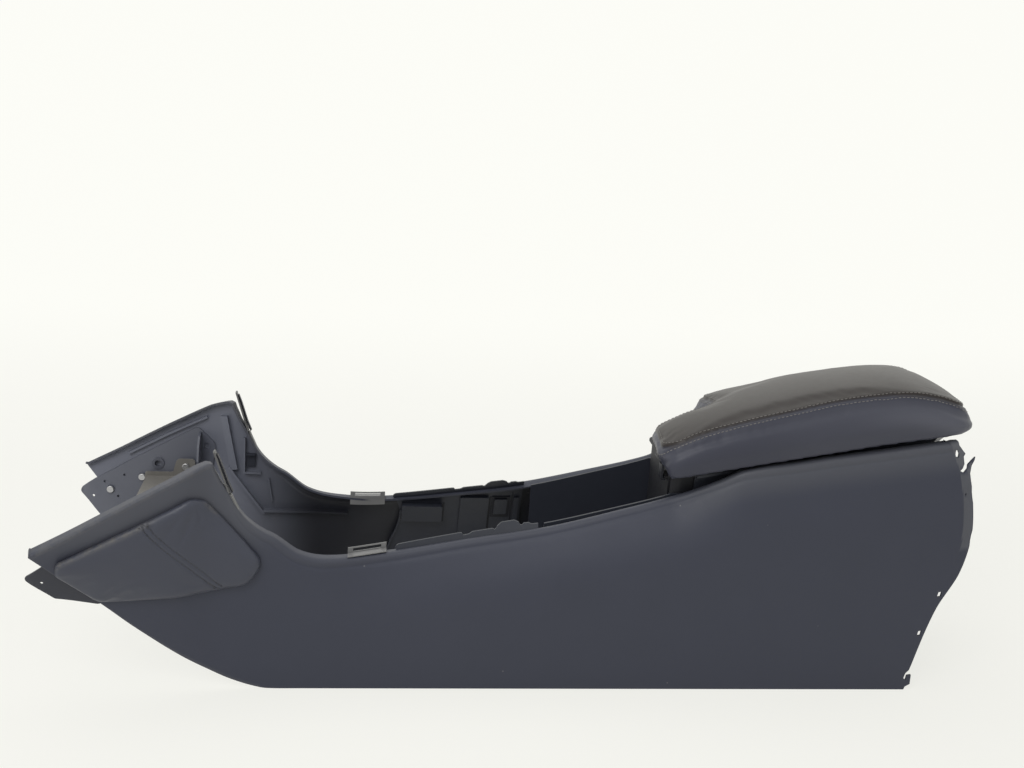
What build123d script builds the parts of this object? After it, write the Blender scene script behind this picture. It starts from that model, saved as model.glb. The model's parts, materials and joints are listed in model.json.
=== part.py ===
from build123d import *
from math import atan, cos, degrees, radians, sin, tan
import os

# Car centre console: two moulded side panels on an inner carrier, with a hinged armrest lid.
# X runs from the front tongues to the rear, Z is up, and the left panel lies on the -Y side.
# Every X below is measured from the front tip. The finished solids are moved back by half the length.

# Overall length and heights
LENGTH = 1084.0
FLANGE_TIP = (6.0, 176.0)
WING_TIP = (198.0, 290.0)
WING_DROP = 14.0
RIM_LOW = (325.0, 160.0)
RIM_REAR = (719.0, 235.0)
SHOULDER = (800.0, 275.0)
TOP_REAR = (LENGTH - 32.0, 323.0)
FOOT_FRONT = 250.0
FOOT_REAR = LENGTH - 54.0
BULGE = (LENGTH, 203.0)

# Half widths of the outer skin
HALF_FLANGE = 150.0
HALF_WING = 144.0
HALF_TIP = 122.0
HALF_MOUTH = 113.0
HALF_LOW = 112.0
HALF_CREASE = 113.5
HALF_RIM = 83.0
HALF_RIM_REAR = 75.0
HALF_TOP = 103.0
HALF_LOW_REAR = 109.0

# Side panel moulding
WALL = 3.0
LIP = 12.0
LIP_WALL = 2.5
ROLL = 6.0
SPLIT_X = 262.0
SHEET_TOP = 300.0
WING_SECTIONS = 9
FLANK_SECTIONS = 24
CREASE_START = 73.0
CREASE_END = 272.0
CREASE_ROUND = 60.0
CREASE_RUN = 90.0
REAR_STEP = 1.2
REAR_BAND = 12.0
RIB_DEEP = 8.0
RIB_WALL = 2.5
SEAT = 0.3
CUTTER = (HALF_RIM / 2, HALF_FLANGE + HALF_RIM)

# Knee pads
PAD_THICK = 13.0
PAD_ROUND = 6.0

# Front brackets and brace
BRACKET_WALL = 2.5
BOSS_RISE = 3.0
BOSS_ROUND = 5.0
BRACKET_SCREWS = ((78.0, 168.0), (38.0, 150.0))
RING_BOSS = (98.0, 186.0)
FIN_X = 150.0
FIN_HALF = 100.0
BRACE_WALL = 2.0
BRACE_X = (85.0, 124.0)
BRACE_Z = 173.0
BRACE_TALL = 13.0
BRACE_HALF = HALF_FLANGE - 28.0
BRACE_BOLTS = ((93.0, 164.0), (134.0, 186.0))

# Rim fittings
CLIP_X = (345.0, 389.0)
CLIP_WALL = 1.2
CLIP_RISE = 8.0
LINER_WALL = 2.5
LINER_X = (398.0, 566.0)
LINER_FOOT = 62.0
LEDGE_RISE = 4.0
TAB_ROUND = 14.0
TAB_X = 530.0

# Inner carrier
CARRIER_X = (574.0, LENGTH - 48.0)
CARRIER_WALL = 3.0
CARRIER_HALF = 66.0
CARRIER_FLOOR = 34.0
CARRIER_FLANGE = 76.0
CARRIER_STEP = 26.0
SHELF_Z = 3.0
SHELF_REACH = 25.0
SHELF_LONG = 36.0
SHELF_SCREW = 95.0
LEG_FRONT = 620.0
LEG_REAR = LENGTH - 94.0
CARRIER_LEGS = (LEG_FRONT, (LEG_FRONT + LEG_REAR) / 2, LEG_REAR)
MEMBER_X = 307.0
MEMBER_TALL = 20.0
MOUNT_ROUND = 3.2
MEMBER_MOUNT = 60.0
CARRIER_MOUNT = (LENGTH - 63.0, 40.0)

# Storage bin
BIN_X = (724.0, LENGTH - 78.0)
BIN_WALL = 2.5
BIN_FLOOR = 140.0
BIN_DROP = 8.0
BIN_ROUND = 12.0
BIN_FLANGE_END = LENGTH - 56.0
MAT_THICK = 3.0
BUMPER_ROUND = 5.0
BUMPER_Y = 68.0

# Armrest lid
LID_SEAT = (787.0, 278.0)
LID_GAP = 6.51
LID_SLOPE = degrees(atan((TOP_REAR[1] + LID_GAP - LID_SEAT[1]) / (TOP_REAR[0] - LID_SEAT[0])))
LID_FRONT = 690.0
LID_STEP = 777.0
LID_REAR = LENGTH - 5.0
LID_HALF = 104.0
LID_THICK = 63.5
LID_INSET = 11.0
LID_SKEW = 18.0
LID_DOME = 5.0
LID_FALL = 21.0
NOSE_FRONT = 714.0
BASE_THICK = 3.0
CORE_THICK = 5.0
BEAD = 2.0
BEAD_WIDE = 4.0

# Lid hinge
HINGE_X = LENGTH - 24.0
HINGE_DROP = 6.0
HINGE_PIN = 2.5
HINGE_KNUCKLE = 5.5
HINGE_FIT = 0.05
KNUCKLE_LONG = 24.0
KNUCKLE_GAP = 0.3
LEAF_WALL = 2.5
LEAF_FRONT = HINGE_X - 46.0
LEAF_REAR = HINGE_X - 10.0
BUMPER_X = (LID_STEP + 38.0, HINGE_X - 110.0)
PLATE_DROP = (73.0, 25.0)

# Lid latch
LATCH_Y = -40.0
LATCH_WIDE = 30.0
LATCH_X = 718.0
LATCH_RISE = 5.0
LATCH_PIN = 1.5
LATCH_HUB = 4.2
LATCH_ARM = 23.0
STRIKER_WALL = 1.8
EAR_WALL = 2.0

# Screws
SCREW_HEAD = 4.5
SCREW_HEAD_TALL = 2.4
SCREW_SHANK = 1.9
SCREW_FIT = 0.1
SKIN_LEFT = 1.2

SLOPE = tan(radians(LID_SLOPE))


def along(points, x):
    """Height of a smooth line through (x, value) points, held level past its ends."""
    if x <= points[0][0]:
        return points[0][1]
    if x >= points[-1][0]:
        return points[-1][1]
    slopes = []
    for i, point in enumerate(points):
        before = points[max(i - 1, 0)]
        after = points[min(i + 1, len(points) - 1)]
        slopes.append((after[1] - before[1]) / (after[0] - before[0]))
    for i in range(len(points) - 1):
        (x0, y0), (x1, y1) = points[i], points[i + 1]
        if x <= x1:
            run = x1 - x0
            t = (x - x0) / run
            return (
                y0 * (1 + 2 * t) * (1 - t) ** 2
                + slopes[i] * run * t * (1 - t) ** 2
                + y1 * t * t * (3 - 2 * t)
                + slopes[i + 1] * run * t * t * (t - 1)
            )


def rim_height(x):
    """Height of the rolled rim: down from the wing, low at the mouth, up to the armrest."""
    line = (
        (SPLIT_X, RIM_LOW[1] + 27),
        (290, RIM_LOW[1] + 7),
        RIM_LOW,
        (390, RIM_LOW[1] + 4.5),
        (480, RIM_LOW[1] + 19.5),
        (570, RIM_LOW[1] + 35),
        (660, RIM_REAR[1] - 17),
        RIM_REAR,
        (745, RIM_REAR[1] + 11),
        (772, RIM_REAR[1] + 25),
        SHOULDER,
        (0.4 * SHOULDER[0] + 0.6 * TOP_REAR[0], 0.4 * SHOULDER[1] + 0.6 * TOP_REAR[1]),
        TOP_REAR,
        (LENGTH + 20, TOP_REAR[1] + 9),
    )
    return along(line, x)


def rim_half(x):
    """Half width of the panels at the rolled rim."""
    line = (
        (SPLIT_X, HALF_MOUTH),
        (290, HALF_MOUTH - 2),
        (RIM_LOW[0], HALF_MOUTH - 5),
        (375, HALF_RIM + 14),
        (440, HALF_RIM + 6),
        (520, HALF_RIM),
        (610, HALF_RIM - 3),
        (RIM_REAR[0], HALF_RIM_REAR),
        (745, HALF_RIM_REAR + 4),
        (772, HALF_RIM_REAR + 13),
        (SHOULDER[0], HALF_TOP - 6),
        (SHOULDER[0] + 40, HALF_TOP - 2),
        (TOP_REAR[0], HALF_TOP),
    )
    return along(line, x)


def crease_height(x):
    """Height of the soft crease where the flank starts to lean inward."""
    return CREASE_START + (CREASE_END - CREASE_START) * (x - SPLIT_X) / (LENGTH - SPLIT_X)


def low_half(x):
    """Half width of the flank at its bottom edge."""
    t = max(0.0, (x - SPLIT_X) / (LENGTH - SPLIT_X))
    return HALF_LOW + (HALF_LOW_REAR - HALF_LOW) * t


def crease_half(x):
    """Half width at the crease: straight where the flank leaves the wing, then standing proud."""
    straight = low_half(x) + (rim_half(x) - low_half(x)) * crease_height(x) / rim_height(x)
    proud = low_half(x) + HALF_CREASE - HALF_LOW
    share = min(1.0, max(0.05, (x - SPLIT_X) / CREASE_RUN))
    return straight + (proud - straight) * share


def wing_line(x):
    """Half widths of the flared wing at the ground line and at the top of its working sheet."""
    low = (
        (-4, HALF_LOW - 27),
        (60, HALF_LOW - 14),
        (120, HALF_LOW - 6),
        (165, HALF_LOW - 2),
        (WING_TIP[0], HALF_LOW - 0.5),
        (SPLIT_X, HALF_LOW),
    )
    edge = (
        (-4, FLANGE_TIP[1] - 6, HALF_FLANGE),
        (60, FLANGE_TIP[1] + 31, HALF_FLANGE - 2),
        (120, FLANGE_TIP[1] + 64, HALF_WING),
        (165, FLANGE_TIP[1] + 90, HALF_WING - 6),
        (WING_TIP[0], WING_TIP[1], HALF_TIP),
        (SPLIT_X, RIM_LOW[1] + 27, HALF_MOUTH),
    )
    top = [(e[0], f[1] + (e[2] - f[1]) * SHEET_TOP / e[1]) for e, f in zip(edge, low)]
    return along(low, x), along(top, x)


def evenly(start, end, count):
    """Places spread evenly between two ends, both ends among them."""
    return [start + (end - start) * i / (count - 1) for i in range(count)]


def outline(points, radii=0):
    """A flat face inside a closed line of corners, rounded where a radius is given."""
    if radii == 0:
        return make_face(Polyline(*points, close=True))
    return make_face(FilletPolyline(*points, radius=radii, close=True))


def prism(shape, near, far):
    """A solid over a side-view shape, between two half widths on the left side."""
    return extrude(Plane.XZ.offset(near) * shape, amount=far - near)


def across(shape, half):
    """A solid over a side-view shape, the same to both sides of the middle."""
    return extrude(Plane.XZ.offset(-half) * shape, amount=2 * half)


def block(x, y, z):
    """A plain block between two values on each axis."""
    size = (x[1] - x[0], y[1] - y[0], z[1] - z[0])
    middle = ((x[0] + x[1]) / 2, (y[0] + y[1]) / 2, (z[0] + z[1]) / 2)
    return Pos(*middle) * Box(*size)


def drum(radius, length, x, y, z):
    """A round bar along Y, centred at a point."""
    return Pos(x, y, z) * Rot(90, 0, 0) * Cylinder(radius, length)


def right_of(solid):
    """The mirror image of a left-hand solid."""
    return mirror(solid, about=Plane.XZ)


def wing_layer(outer, inner):
    """A sheet that follows the wing, between two depths inside its outer face."""
    faces = []
    for x in evenly(-4.0, SPLIT_X, WING_SECTIONS):
        foot, top = wing_line(x)
        points = ((outer - foot, 0), (outer - top, SHEET_TOP), (inner - top, SHEET_TOP), (inner - foot, 0))
        faces.append(Plane.YZ.offset(x) * outline(points))
    return loft(faces)


def body_layer(outer, inner, rise=0.0):
    """A sheet that follows the flank, between two depths inside its face, and may stand above the rim."""
    faces = []
    for x in evenly(SPLIT_X, LENGTH + 6, FLANK_SECTIONS):
        skin = [(low_half(x), 0), (crease_half(x), crease_height(x)), (rim_half(x), rim_height(x))]
        if rise > 0:
            skin[2] = (rim_half(x), rim_height(x) - LIP_WALL - SEAT)
            skin.append((rim_half(x), rim_height(x) + rise))
        points = [(outer - h, z) for h, z in skin] + [(inner - h, z) for h, z in reversed(skin)]
        faces.append(Plane.YZ.offset(x) * outline(points))
    return loft(faces)


def flank_shell():
    """The flank and its rolled rim as one wall, from the mouth to the rear."""
    faces = []
    for x in evenly(SPLIT_X, LENGTH + 6, FLANK_SECTIONS):
        low, crease, rim = low_half(x), crease_half(x), rim_half(x)
        top, bend = rim_height(x), crease_height(x)
        points = (
            (-low, 0),
            (-crease, bend),
            (-rim, top),
            (LIP - rim, top),
            (LIP - rim, top - LIP_WALL),
            (WALL + 1 - rim, top - LIP_WALL),
            (WALL - crease, bend),
            (WALL - low, 0),
        )
        radii = (0, CREASE_ROUND, ROLL, 0, 0, ROLL - WALL, CREASE_ROUND - WALL, 0)
        faces.append(Plane.YZ.offset(x) * outline(points, radii))
    return loft(faces)


def rear_curve(shift=0.0):
    """The swept rear edge of the panels, from the foot up to the armrest."""
    points = (
        (FOOT_REAR, 0),
        (FOOT_REAR + 5, 34),
        (FOOT_REAR + 24, 108),
        (BULGE[0] - 8, 156),
        BULGE,
        (BULGE[0] - 5, 246),
        (BULGE[0] - 15, 284),
        TOP_REAR,
    )
    return Spline(*[(x + shift, z) for x, z in points])


def wing_outline():
    """Side view of the wing: its flange, tip, hooked rear lip and lower front edge."""
    tip_x, tip_z = WING_TIP[0] - 2, WING_TIP[1] - WING_DROP
    lip = Spline((tip_x, tip_z), (203.5, 260), (212, 244), (228, 215), (SPLIT_X, rim_height(SPLIT_X)))
    edge = Polyline(
        (SPLIT_X, rim_height(SPLIT_X)),
        (SPLIT_X, 0),
        (FOOT_FRONT, 0),
        (218, 13),
        (158, 44),
        (110, 80),
        (72, 114),
        (33, 147),
        (14, 167),
        FLANGE_TIP,
        (89, 224),
        (164, 264.5),
        (186, 275),
        (191.5, tip_z + 1),
        (tip_x, tip_z),
    )
    return make_face([*lip.edges(), *edge.edges()])


def wing_lip():
    """Side view of the folded strip along the wing's rear edge."""
    tip_x, tip_z = WING_TIP
    low = rim_height(SPLIT_X)
    outer = Spline((tip_x, tip_z), (204, 267), (214, 244), (228, 216), (SPLIT_X, low))
    inner = Spline((tip_x - 3, tip_z - 3), (201, 264), (211, 241), (225.5, 213), (SPLIT_X, low - LIP_WALL))
    return make_face([
        *outer.edges(),
        *inner.edges(),
        *Line(outer @ 0, inner @ 0).edges(),
        *Line(outer @ 1, inner @ 1).edges(),
    ])


def rear_edge():
    """The rear edge with its hooks: a notched one at the foot, a fingered one below the top corner."""
    foot = [(FOOT_REAR + x, z) for x, z in (
        (0, 0), (1, 3.8), (7, 7.5), (6.6, 20), (1.6, 19), (0.7, 12.7), (-2.4, 15.4), (-0.8, 22.3), (3, 26.4),
        (5, 34))]
    top_x, top_z = TOP_REAR
    head = [(top_x + x, top_z + z) for x, z in (
        (18, -40), (18.7, -30.6), (21.4, -24.3), (22, -20.4), (17.9, -25), (14, -30), (13.9, -35), (10.4, -39.9),
        (5.4, -37.8), (8.2, -34.6), (9.7, -29), (7.8, -20.2), (9.5, -16.6), (1, -7), (0, 9))]
    sweep = Spline(foot[-1], (FOOT_REAR + 24, 108), (BULGE[0] - 8, 156), BULGE, (BULGE[0] - 5, 246), head[0])
    frame = Polyline(*head, (top_x, top_z + 40), (SPLIT_X - 5, top_z + 40), (SPLIT_X - 5, -10),
                     (FOOT_REAR, -10), *foot)
    return make_face([*sweep.edges(), *frame.edges()])


def rear_region(shift=0.0):
    """Side view of all that lies ahead of the rear edge."""
    curve = rear_curve(shift)
    ends = curve @ 0, curve @ 1
    frame = Polyline(
        (ends[1].X, ends[1].Y),
        (ends[1].X, TOP_REAR[1] + 40),
        (SPLIT_X - 5, TOP_REAR[1] + 40),
        (SPLIT_X - 5, -10),
        (ends[0].X, -10),
        (ends[0].X, ends[0].Y),
    )
    return make_face([*curve.edges(), *frame.edges()])


def tilted_slot(x, z, wide, tall, turn):
    """Side view of a small rectangular hole, leaning by some degrees."""
    return Pos(x, z) * Rot(0, 0, turn) * Rectangle(wide, tall)


def rear_holes():
    """Side view of the slots, keyhole and round holes along the rear edge."""
    holes = tilted_slot(FOOT_REAR + 26, 129, 4.5, 7, -12)
    holes += tilted_slot(FOOT_REAR + 8, 76, 4.5, 7, -12)
    holes += Pos(TOP_REAR[0] - 0.5, TOP_REAR[1] - 17.5) * SlotOverall(9, 3, rotation=75)
    holes += Pos(LENGTH - 18, 257) * Circle(1) + Pos(LENGTH - 15, 244.5) * Circle(0.8)
    return holes


def rear_pockets():
    """Side view of the two shallow pockets pressed into the rear edge."""
    high = rectangle((LENGTH - 15, LENGTH + 4), (248, 263.5))
    return high + rectangle((LENGTH - 7.5, LENGTH + 4), (193.5, 210))


def wing_ribs():
    """Side view of the ribs and pocket inside the wing."""
    column = outline(((181, 255), (194, 268), (205, 190), (196, 182), (188, 190)))
    slanted = outline(((187, 190), (191, 190), (236, 131), (232, 129)))
    tick = outline(((238, 176), (241, 176), (246, 146), (243, 146)))
    level = outline(((233, 132), (SPLIT_X, 132), (SPLIT_X, 135), (233, 135)))
    upper = outline(((60, 196), (160, 252), (160, 249), (60, 193)))
    return column, slanted, tick, level, upper


def flank_ribs():
    """Side view of the ribs inside the flank."""
    level = outline(((SPLIT_X, 132), (342, 133), (342, 136), (SPLIT_X, 135)))
    ribs = [level]
    for x in (300, 356, 640, FOOT_REAR - 18):
        top = rim_height(x) - 22
        ribs.append(outline(((x, 30), (x + RIB_WALL, 30), (x + RIB_WALL, top), (x, top))))
    return ribs


def rectangle(x, z):
    """Side view of a rectangle between two values on each axis."""
    return outline(((x[0], z[0]), (x[1], z[0]), (x[1], z[1]), (x[0], z[1])))


def frame_of(x, z, edge):
    """Side view of a rectangular frame with walls of one width."""
    inner = rectangle((x[0] + edge, x[1] - edge), (z[0] + edge, z[1] - edge))
    return rectangle(x, z) - inner


def ribbon(start, end, low, high, count=6):
    """Side view of a strip that follows the rim, between two heights above it."""
    upper = Spline(*[(x, rim_height(x) + high) for x in evenly(start, end, count)])
    lower = Spline(*[(x, rim_height(x) + low) for x in evenly(start, end, count)])
    sides = [Line(upper @ 0, lower @ 0), Line(upper @ 1, lower @ 1)]
    return make_face([*upper.edges(), *lower.edges(), *sides[0].edges(), *sides[1].edges()])


def screw(length):
    """A pan-head screw along Z, its head standing on the origin."""
    head = Pos(0, 0, SCREW_HEAD_TALL / 2) * Cylinder(SCREW_HEAD, SCREW_HEAD_TALL)
    head = fillet(head.edges().sort_by(Axis.Z)[-1], SCREW_HEAD_TALL * 0.4)
    return head + Pos(0, 0, -length / 2) * Cylinder(SCREW_SHANK, length)


def screw_hole(length):
    """The clearance for a screw's shank, from the origin down."""
    return Pos(0, 0, -length / 2) * Cylinder(SCREW_SHANK + SCREW_FIT, length)


def wing_half(x, z):
    """Half width of the wing's outer face at a place in the side view."""
    foot, top = wing_line(x)
    return foot + (top - foot) * z / SHEET_TOP


def shelves():
    """Inward shelves along the panel's foot, drilled for upright screws."""
    shelf = Part()
    for x in (MEMBER_X, *CARRIER_LEGS):
        view = rectangle((x - SHELF_LONG / 2, x + SHELF_LONG / 2), (0, SHELF_Z))
        shelf += body_layer(WALL - 0.5, SHELF_REACH) & prism(view, *CUTTER)
        shelf -= Pos(x, -SHELF_SCREW, SHELF_Z) * screw_hole(2 * SHELF_Z)
    return shelf


def side_panel():
    """One moulded side panel, left hand."""
    wing_sheet = wing_layer(0, WALL) & prism(wing_outline(), *CUTTER)
    wing_fold = wing_layer(0.4, LIP) & prism(wing_lip(), *CUTTER)
    wing = wing_sheet + wing_fold
    deep_wing = wing_layer(WALL - 0.5, WALL + RIB_DEEP)
    for shape in wing_ribs():
        wing += deep_wing & prism(shape, *CUTTER)
    for x, z in BRACKET_SCREWS:
        inside = wing_half(x, z) - 2 * WALL
        wing -= Pos(x, -inside, z) * Rot(-90, 0, 0) * screw_hole(2 * WALL - SKIN_LEFT)
    flank = flank_shell() & prism(rear_edge(), *CUTTER)
    behind = rectangle((FOOT_REAR - 60, LENGTH + 20), (-5, TOP_REAR[1] + 30)) - rear_region(-REAR_BAND)
    flank -= body_layer(-5, REAR_STEP, rise=20) & prism(behind, *CUTTER)
    flank -= body_layer(-5, WALL / 2 + REAR_STEP / 2) & prism(rear_pockets(), *CUTTER)
    flank -= prism(rear_holes(), *CUTTER)
    deep_flank = body_layer(WALL - 0.5, WALL + RIB_DEEP)
    for shape in flank_ribs():
        flank += deep_flank & prism(shape, *CUTTER)
    return wing + flank + shelves()


def knee_pad():
    """The padded leather cushion on the wing, left hand."""
    corners = ((31, 150), (33, 168), (172, 243), (257, 160), (236, 131), (75, 114))
    view = outline(corners, (6, 5, 16, 14, 22, 12))
    return wing_layer(-PAD_THICK, -SEAT) & prism(view, *CUTTER)


def front_bracket():
    """The moulded plate inside the wing, with its tongue, bosses and fin, left hand."""
    corners = ((-3, 146), (17, 160), (62, 187), (148, 236), (172, 216), (166, 176), (122, 150), (74, 108), (27, 116))
    view = outline(corners, (5, 8, 20, 8, 12, 12, 20, 8, 6))
    view -= Pos(160, 212) * Circle(4)
    view -= Pos(126, 188) * Rectangle(5, 5)
    for x, z in ((30, 158), (16, 139), (48, 141), (55, 168)):
        view -= Pos(x, z) * Circle(1.6)
    plate = wing_layer(WALL + SEAT, WALL + SEAT + BRACKET_WALL) & prism(view, *CUTTER)
    for x, z in BRACKET_SCREWS:
        half = wing_half(x, z) - WALL - SEAT - BRACKET_WALL
        plate += prism(Pos(x, z) * Circle(BOSS_ROUND), half - BOSS_RISE, half + 2)
    for x, z in BRACE_BOLTS:
        plate += prism(Pos(x, z) * Circle(BOSS_ROUND), BRACE_HALF + SEAT, wing_half(x, z) - WALL)
    plate += prism(Pos(*RING_BOSS) * Circle(7.5), wing_half(*RING_BOSS) - 9, wing_half(*RING_BOSS) - WALL)
    plate -= prism(Pos(*RING_BOSS) * Circle(4.3), *CUTTER)
    fin = Polyline((-FIN_HALF, 178), (-FIN_HALF, 200), (-FIN_HALF - 6, 216), (-FIN_HALF - 18, 228),
                   (-HALF_WING, 232), (-HALF_WING, 178), close=True)
    plate += extrude(Plane.YZ.offset(FIN_X) * make_face(fin), amount=BRACKET_WALL)
    plate -= wing_layer(-60, WALL + SEAT)
    for x, z in BRACKET_SCREWS:
        plate -= prism(Pos(x, z) * Circle(SCREW_SHANK + SCREW_FIT), *CUTTER)
    for x, z in BRACE_BOLTS:
        plate -= prism(Pos(x, z) * Circle(SCREW_SHANK + SCREW_FIT), BRACE_HALF - 1, wing_half(x, z) - WALL - 3)
    return plate


def front_brace():
    """The pressed steel channel that ties the two wings together."""
    low = BRACE_Z - BRACE_TALL
    channel = rectangle(BRACE_X, (low, BRACE_Z))
    hollow = rectangle((BRACE_X[0] + BRACE_WALL, BRACE_X[1] - BRACE_WALL), (low - 1, BRACE_Z - BRACE_WALL))
    bar = across(channel - hollow, BRACE_HALF - BRACE_WALL / 2)
    corners = ((83, 153), (106, 153), (122, 165), (146, 165), (146, 196), (123, 196), (118, 178), (83, 178))
    view = outline(corners, (3, 3, 3, 4, 4, 6, 3, 3))
    for x, z in BRACE_BOLTS:
        view -= Pos(x, z) * Circle(SCREW_SHANK + SCREW_FIT)
    end = prism(view, BRACE_HALF - BRACE_WALL, BRACE_HALF)
    holes = [Pos((BRACE_X[0] + BRACE_X[1]) / 2, y, BRACE_Z) * Cylinder(7, 8) for y in (-70, 0, 70)]
    return bar + end + right_of(end) - holes


def rim_clip():
    """The slotted spring clip over the rim, left hand."""
    start, end = CLIP_X
    back = LIP + SEAT + CLIP_WALL
    upright = ribbon(start, end, -10, CLIP_RISE) - ribbon(start + 6, end - 6, 2.6, CLIP_RISE - 1.6)
    clip = body_layer(LIP + SEAT, back, rise=40) & prism(upright, *CUTTER)
    clip += body_layer(1.5, back, rise=40) & prism(ribbon(start, end, SEAT, SEAT + CLIP_WALL), *CUTTER)
    return clip


def liner():
    """The inner wall moulding below the rim, with its ledge, round tab and boxes, left hand."""
    start, end = LINER_X
    out, back = LIP + SEAT, LIP + SEAT + LINER_WALL
    top = Spline(*[(x, rim_height(x) + 2) for x in evenly(start + 6, end, 6)])
    front = Spline((start - 6, LINER_FOOT), (start - 1, 99), (start + 9, 130), top @ 0)
    foot = Polyline(top @ 1, (end, LINER_FOOT), (start - 6, LINER_FOOT))
    view = make_face([*top.edges(), *front.edges(), *foot.edges()])
    view += ribbon(start + 6, 477, 0, LEDGE_RISE) + ribbon(487, 515, 0, 3)
    view += Pos(TAB_X, rim_height(TAB_X) + 1) * Circle(TAB_ROUND) + ribbon(546, 556, 0, 5)
    wall = body_layer(out, back, rise=40) & prism(view, *CUTTER)
    ledges = ribbon(start + 6, 477, SEAT, LEDGE_RISE) + ribbon(487, 515, SEAT, 3)
    wall += body_layer(3, back - 0.5, rise=40) & prism(ledges, *CUTTER)
    boss = frame_of((410, 463), (128, 152), 2.2)
    wall += body_layer(back - 0.5, back + 12) & prism(boss, *CUTTER)
    wall += body_layer(back - 0.5, back + 4) & prism(rectangle((486, 523), (104, 168)), *CUTTER)
    wall += body_layer(back - 0.5, back + 8) & prism(frame_of((527, 551), (136, 166), 2.5), *CUTTER)
    wall += body_layer(back - 0.5, back + 3) & prism(rectangle((556, 563), (100, 168)), *CUTTER)
    return wall


def under(x, rise=0.0):
    """Height of the lid's sloping underside, or of a plane above or below it."""
    return LID_SEAT[1] + (x - LID_SEAT[0]) * SLOPE + rise / cos(radians(LID_SLOPE))


def slab(x, low, high):
    """Side view of a strip along the lid's underside, between two heights from it."""
    return outline(((x[0], under(x[0], low)), (x[1], under(x[1], low)),
                    (x[1], under(x[1], high)), (x[0], under(x[0], high))))


def on_lid(x, y, rise=0.0):
    """A place on the lid's underside or square above it, with Z square to the slope."""
    turn = radians(LID_SLOPE)
    return Pos(x - rise * sin(turn), y, under(x) + rise * cos(turn)) * Rot(0, -LID_SLOPE, 0)


def cross_member():
    """The pressed channel that joins the two panels at the front foot."""
    half = SHELF_LONG / 2 - 3
    low, top = SHELF_Z + SEAT, SHELF_Z + SEAT + MEMBER_TALL
    x = (MEMBER_X - half, MEMBER_X + half)
    flat = across(rectangle(x, (low, low + BRACE_WALL)), HALF_LOW - WALL - 4)
    sides = rectangle((x[0], x[0] + BRACE_WALL), (low, top)) + rectangle((x[1] - BRACE_WALL, x[1]), (low, top))
    bar = flat + across(sides, SHELF_SCREW - SCREW_HEAD - 4)
    for side in (-1, 1):
        bar -= Pos(MEMBER_X, side * SHELF_SCREW, low + 5) * screw_hole(10)
        bar -= Pos(MEMBER_X, side * MEMBER_MOUNT, low) * Cylinder(MOUNT_ROUND, 10)
    return bar


def carrier_view():
    """Side view of one carrier wall: under the rim in front, up to the bin's flange behind."""
    start, end = CARRIER_X
    drop = -BIN_DROP - BIN_WALL - SEAT
    top = Spline(*[(x, rim_height(x) - LIP_WALL - SEAT - 0.5) for x in evenly(start, BIN_X[0], 6)])
    step = BIN_X[0] + CARRIER_STEP
    low = rim_height(BIN_X[0]) - LIP_WALL - SEAT - 0.5
    rest = [(step, low), (step, under(step, drop)), (end, under(end, drop)), (end, CARRIER_FLOOR)]
    for leg in reversed(CARRIER_LEGS):
        half = SHELF_LONG / 2 - 3
        rest += [(leg + half, CARRIER_FLOOR), (leg + half, SHELF_Z + SEAT)]
        rest += [(leg - half, SHELF_Z + SEAT), (leg - half, CARRIER_FLOOR)]
    edge = Polyline(top @ 1, *rest, (start, CARRIER_FLOOR), top @ 0)
    return make_face([*top.edges(), *edge.edges()])


def inner_carrier():
    """The moulded frame that carries the bin and the hinge, with legs to the panels' shelves."""
    inner = CARRIER_HALF - CARRIER_WALL
    wall = prism(carrier_view(), inner, CARRIER_HALF)
    drop = -BIN_DROP - BIN_WALL - SEAT
    flange = slab((BIN_X[0] + CARRIER_STEP, CARRIER_X[1]), drop - CARRIER_WALL, drop)
    wall += prism(flange, inner, CARRIER_FLANGE)
    half = SHELF_LONG / 2 - 3
    for leg in CARRIER_LEGS:
        foot = rectangle((leg - half, leg + half), (SHELF_Z + SEAT, SHELF_Z + SEAT + CARRIER_WALL))
        wall += prism(foot, inner, SHELF_SCREW + 8)
        for x in (leg - half, leg + half - RIB_WALL):
            web = Polyline((-CARRIER_HALF + 1, SHELF_Z + 2), (-SHELF_SCREW - 6, SHELF_Z + 2),
                           (-CARRIER_HALF + 1, CARRIER_FLOOR + 30), close=True)
            wall += extrude(Plane.YZ.offset(x) * make_face(web), amount=RIB_WALL)
        wall -= Pos(leg, -SHELF_SCREW, SHELF_Z + 5) * screw_hole(10)
    floor = across(rectangle(CARRIER_X, (CARRIER_FLOOR, CARRIER_FLOOR + CARRIER_WALL)), inner + 0.5)
    bay = (CARRIER_X[1] - CARRIER_X[0]) / 3
    for i in range(3):
        x = CARRIER_X[0] + 18 + bay * i
        floor -= block((x, x + 0.72 * bay), (-46, 46), (CARRIER_FLOOR - 1, CARRIER_FLOOR + CARRIER_WALL + 1))
    for y in (-CARRIER_MOUNT[1], CARRIER_MOUNT[1]):
        floor -= Pos(CARRIER_MOUNT[0], y, CARRIER_FLOOR) * Cylinder(MOUNT_ROUND, 10)
    end = CARRIER_X[1]
    top = under(end - CARRIER_WALL, drop)
    rear = block((end - CARRIER_WALL, end), (-inner - 0.5, inner + 0.5), (CARRIER_FLOOR, top))
    rear -= block((end - 10, end + 10), (-40, 40), (CARRIER_FLOOR + 26, plate_z()[0] - 32))
    for y, z in hinge_plate_holes():
        rear -= Pos(end, y, z) * Rot(0, 90, 0) * screw_hole(12)
    return wall + right_of(wall) + floor + rear


def plate_z():
    """Height of the fixed hinge plate's lower and upper edge."""
    return tuple(hinge_axis()[1] - drop for drop in PLATE_DROP)


def hinge_plate_holes():
    """Where screws pass through the fixed hinge plate, across and up."""
    low, high = plate_z()
    return [(y, z) for y in (-46, 46) for z in (low + 10, high - 14)]


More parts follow.
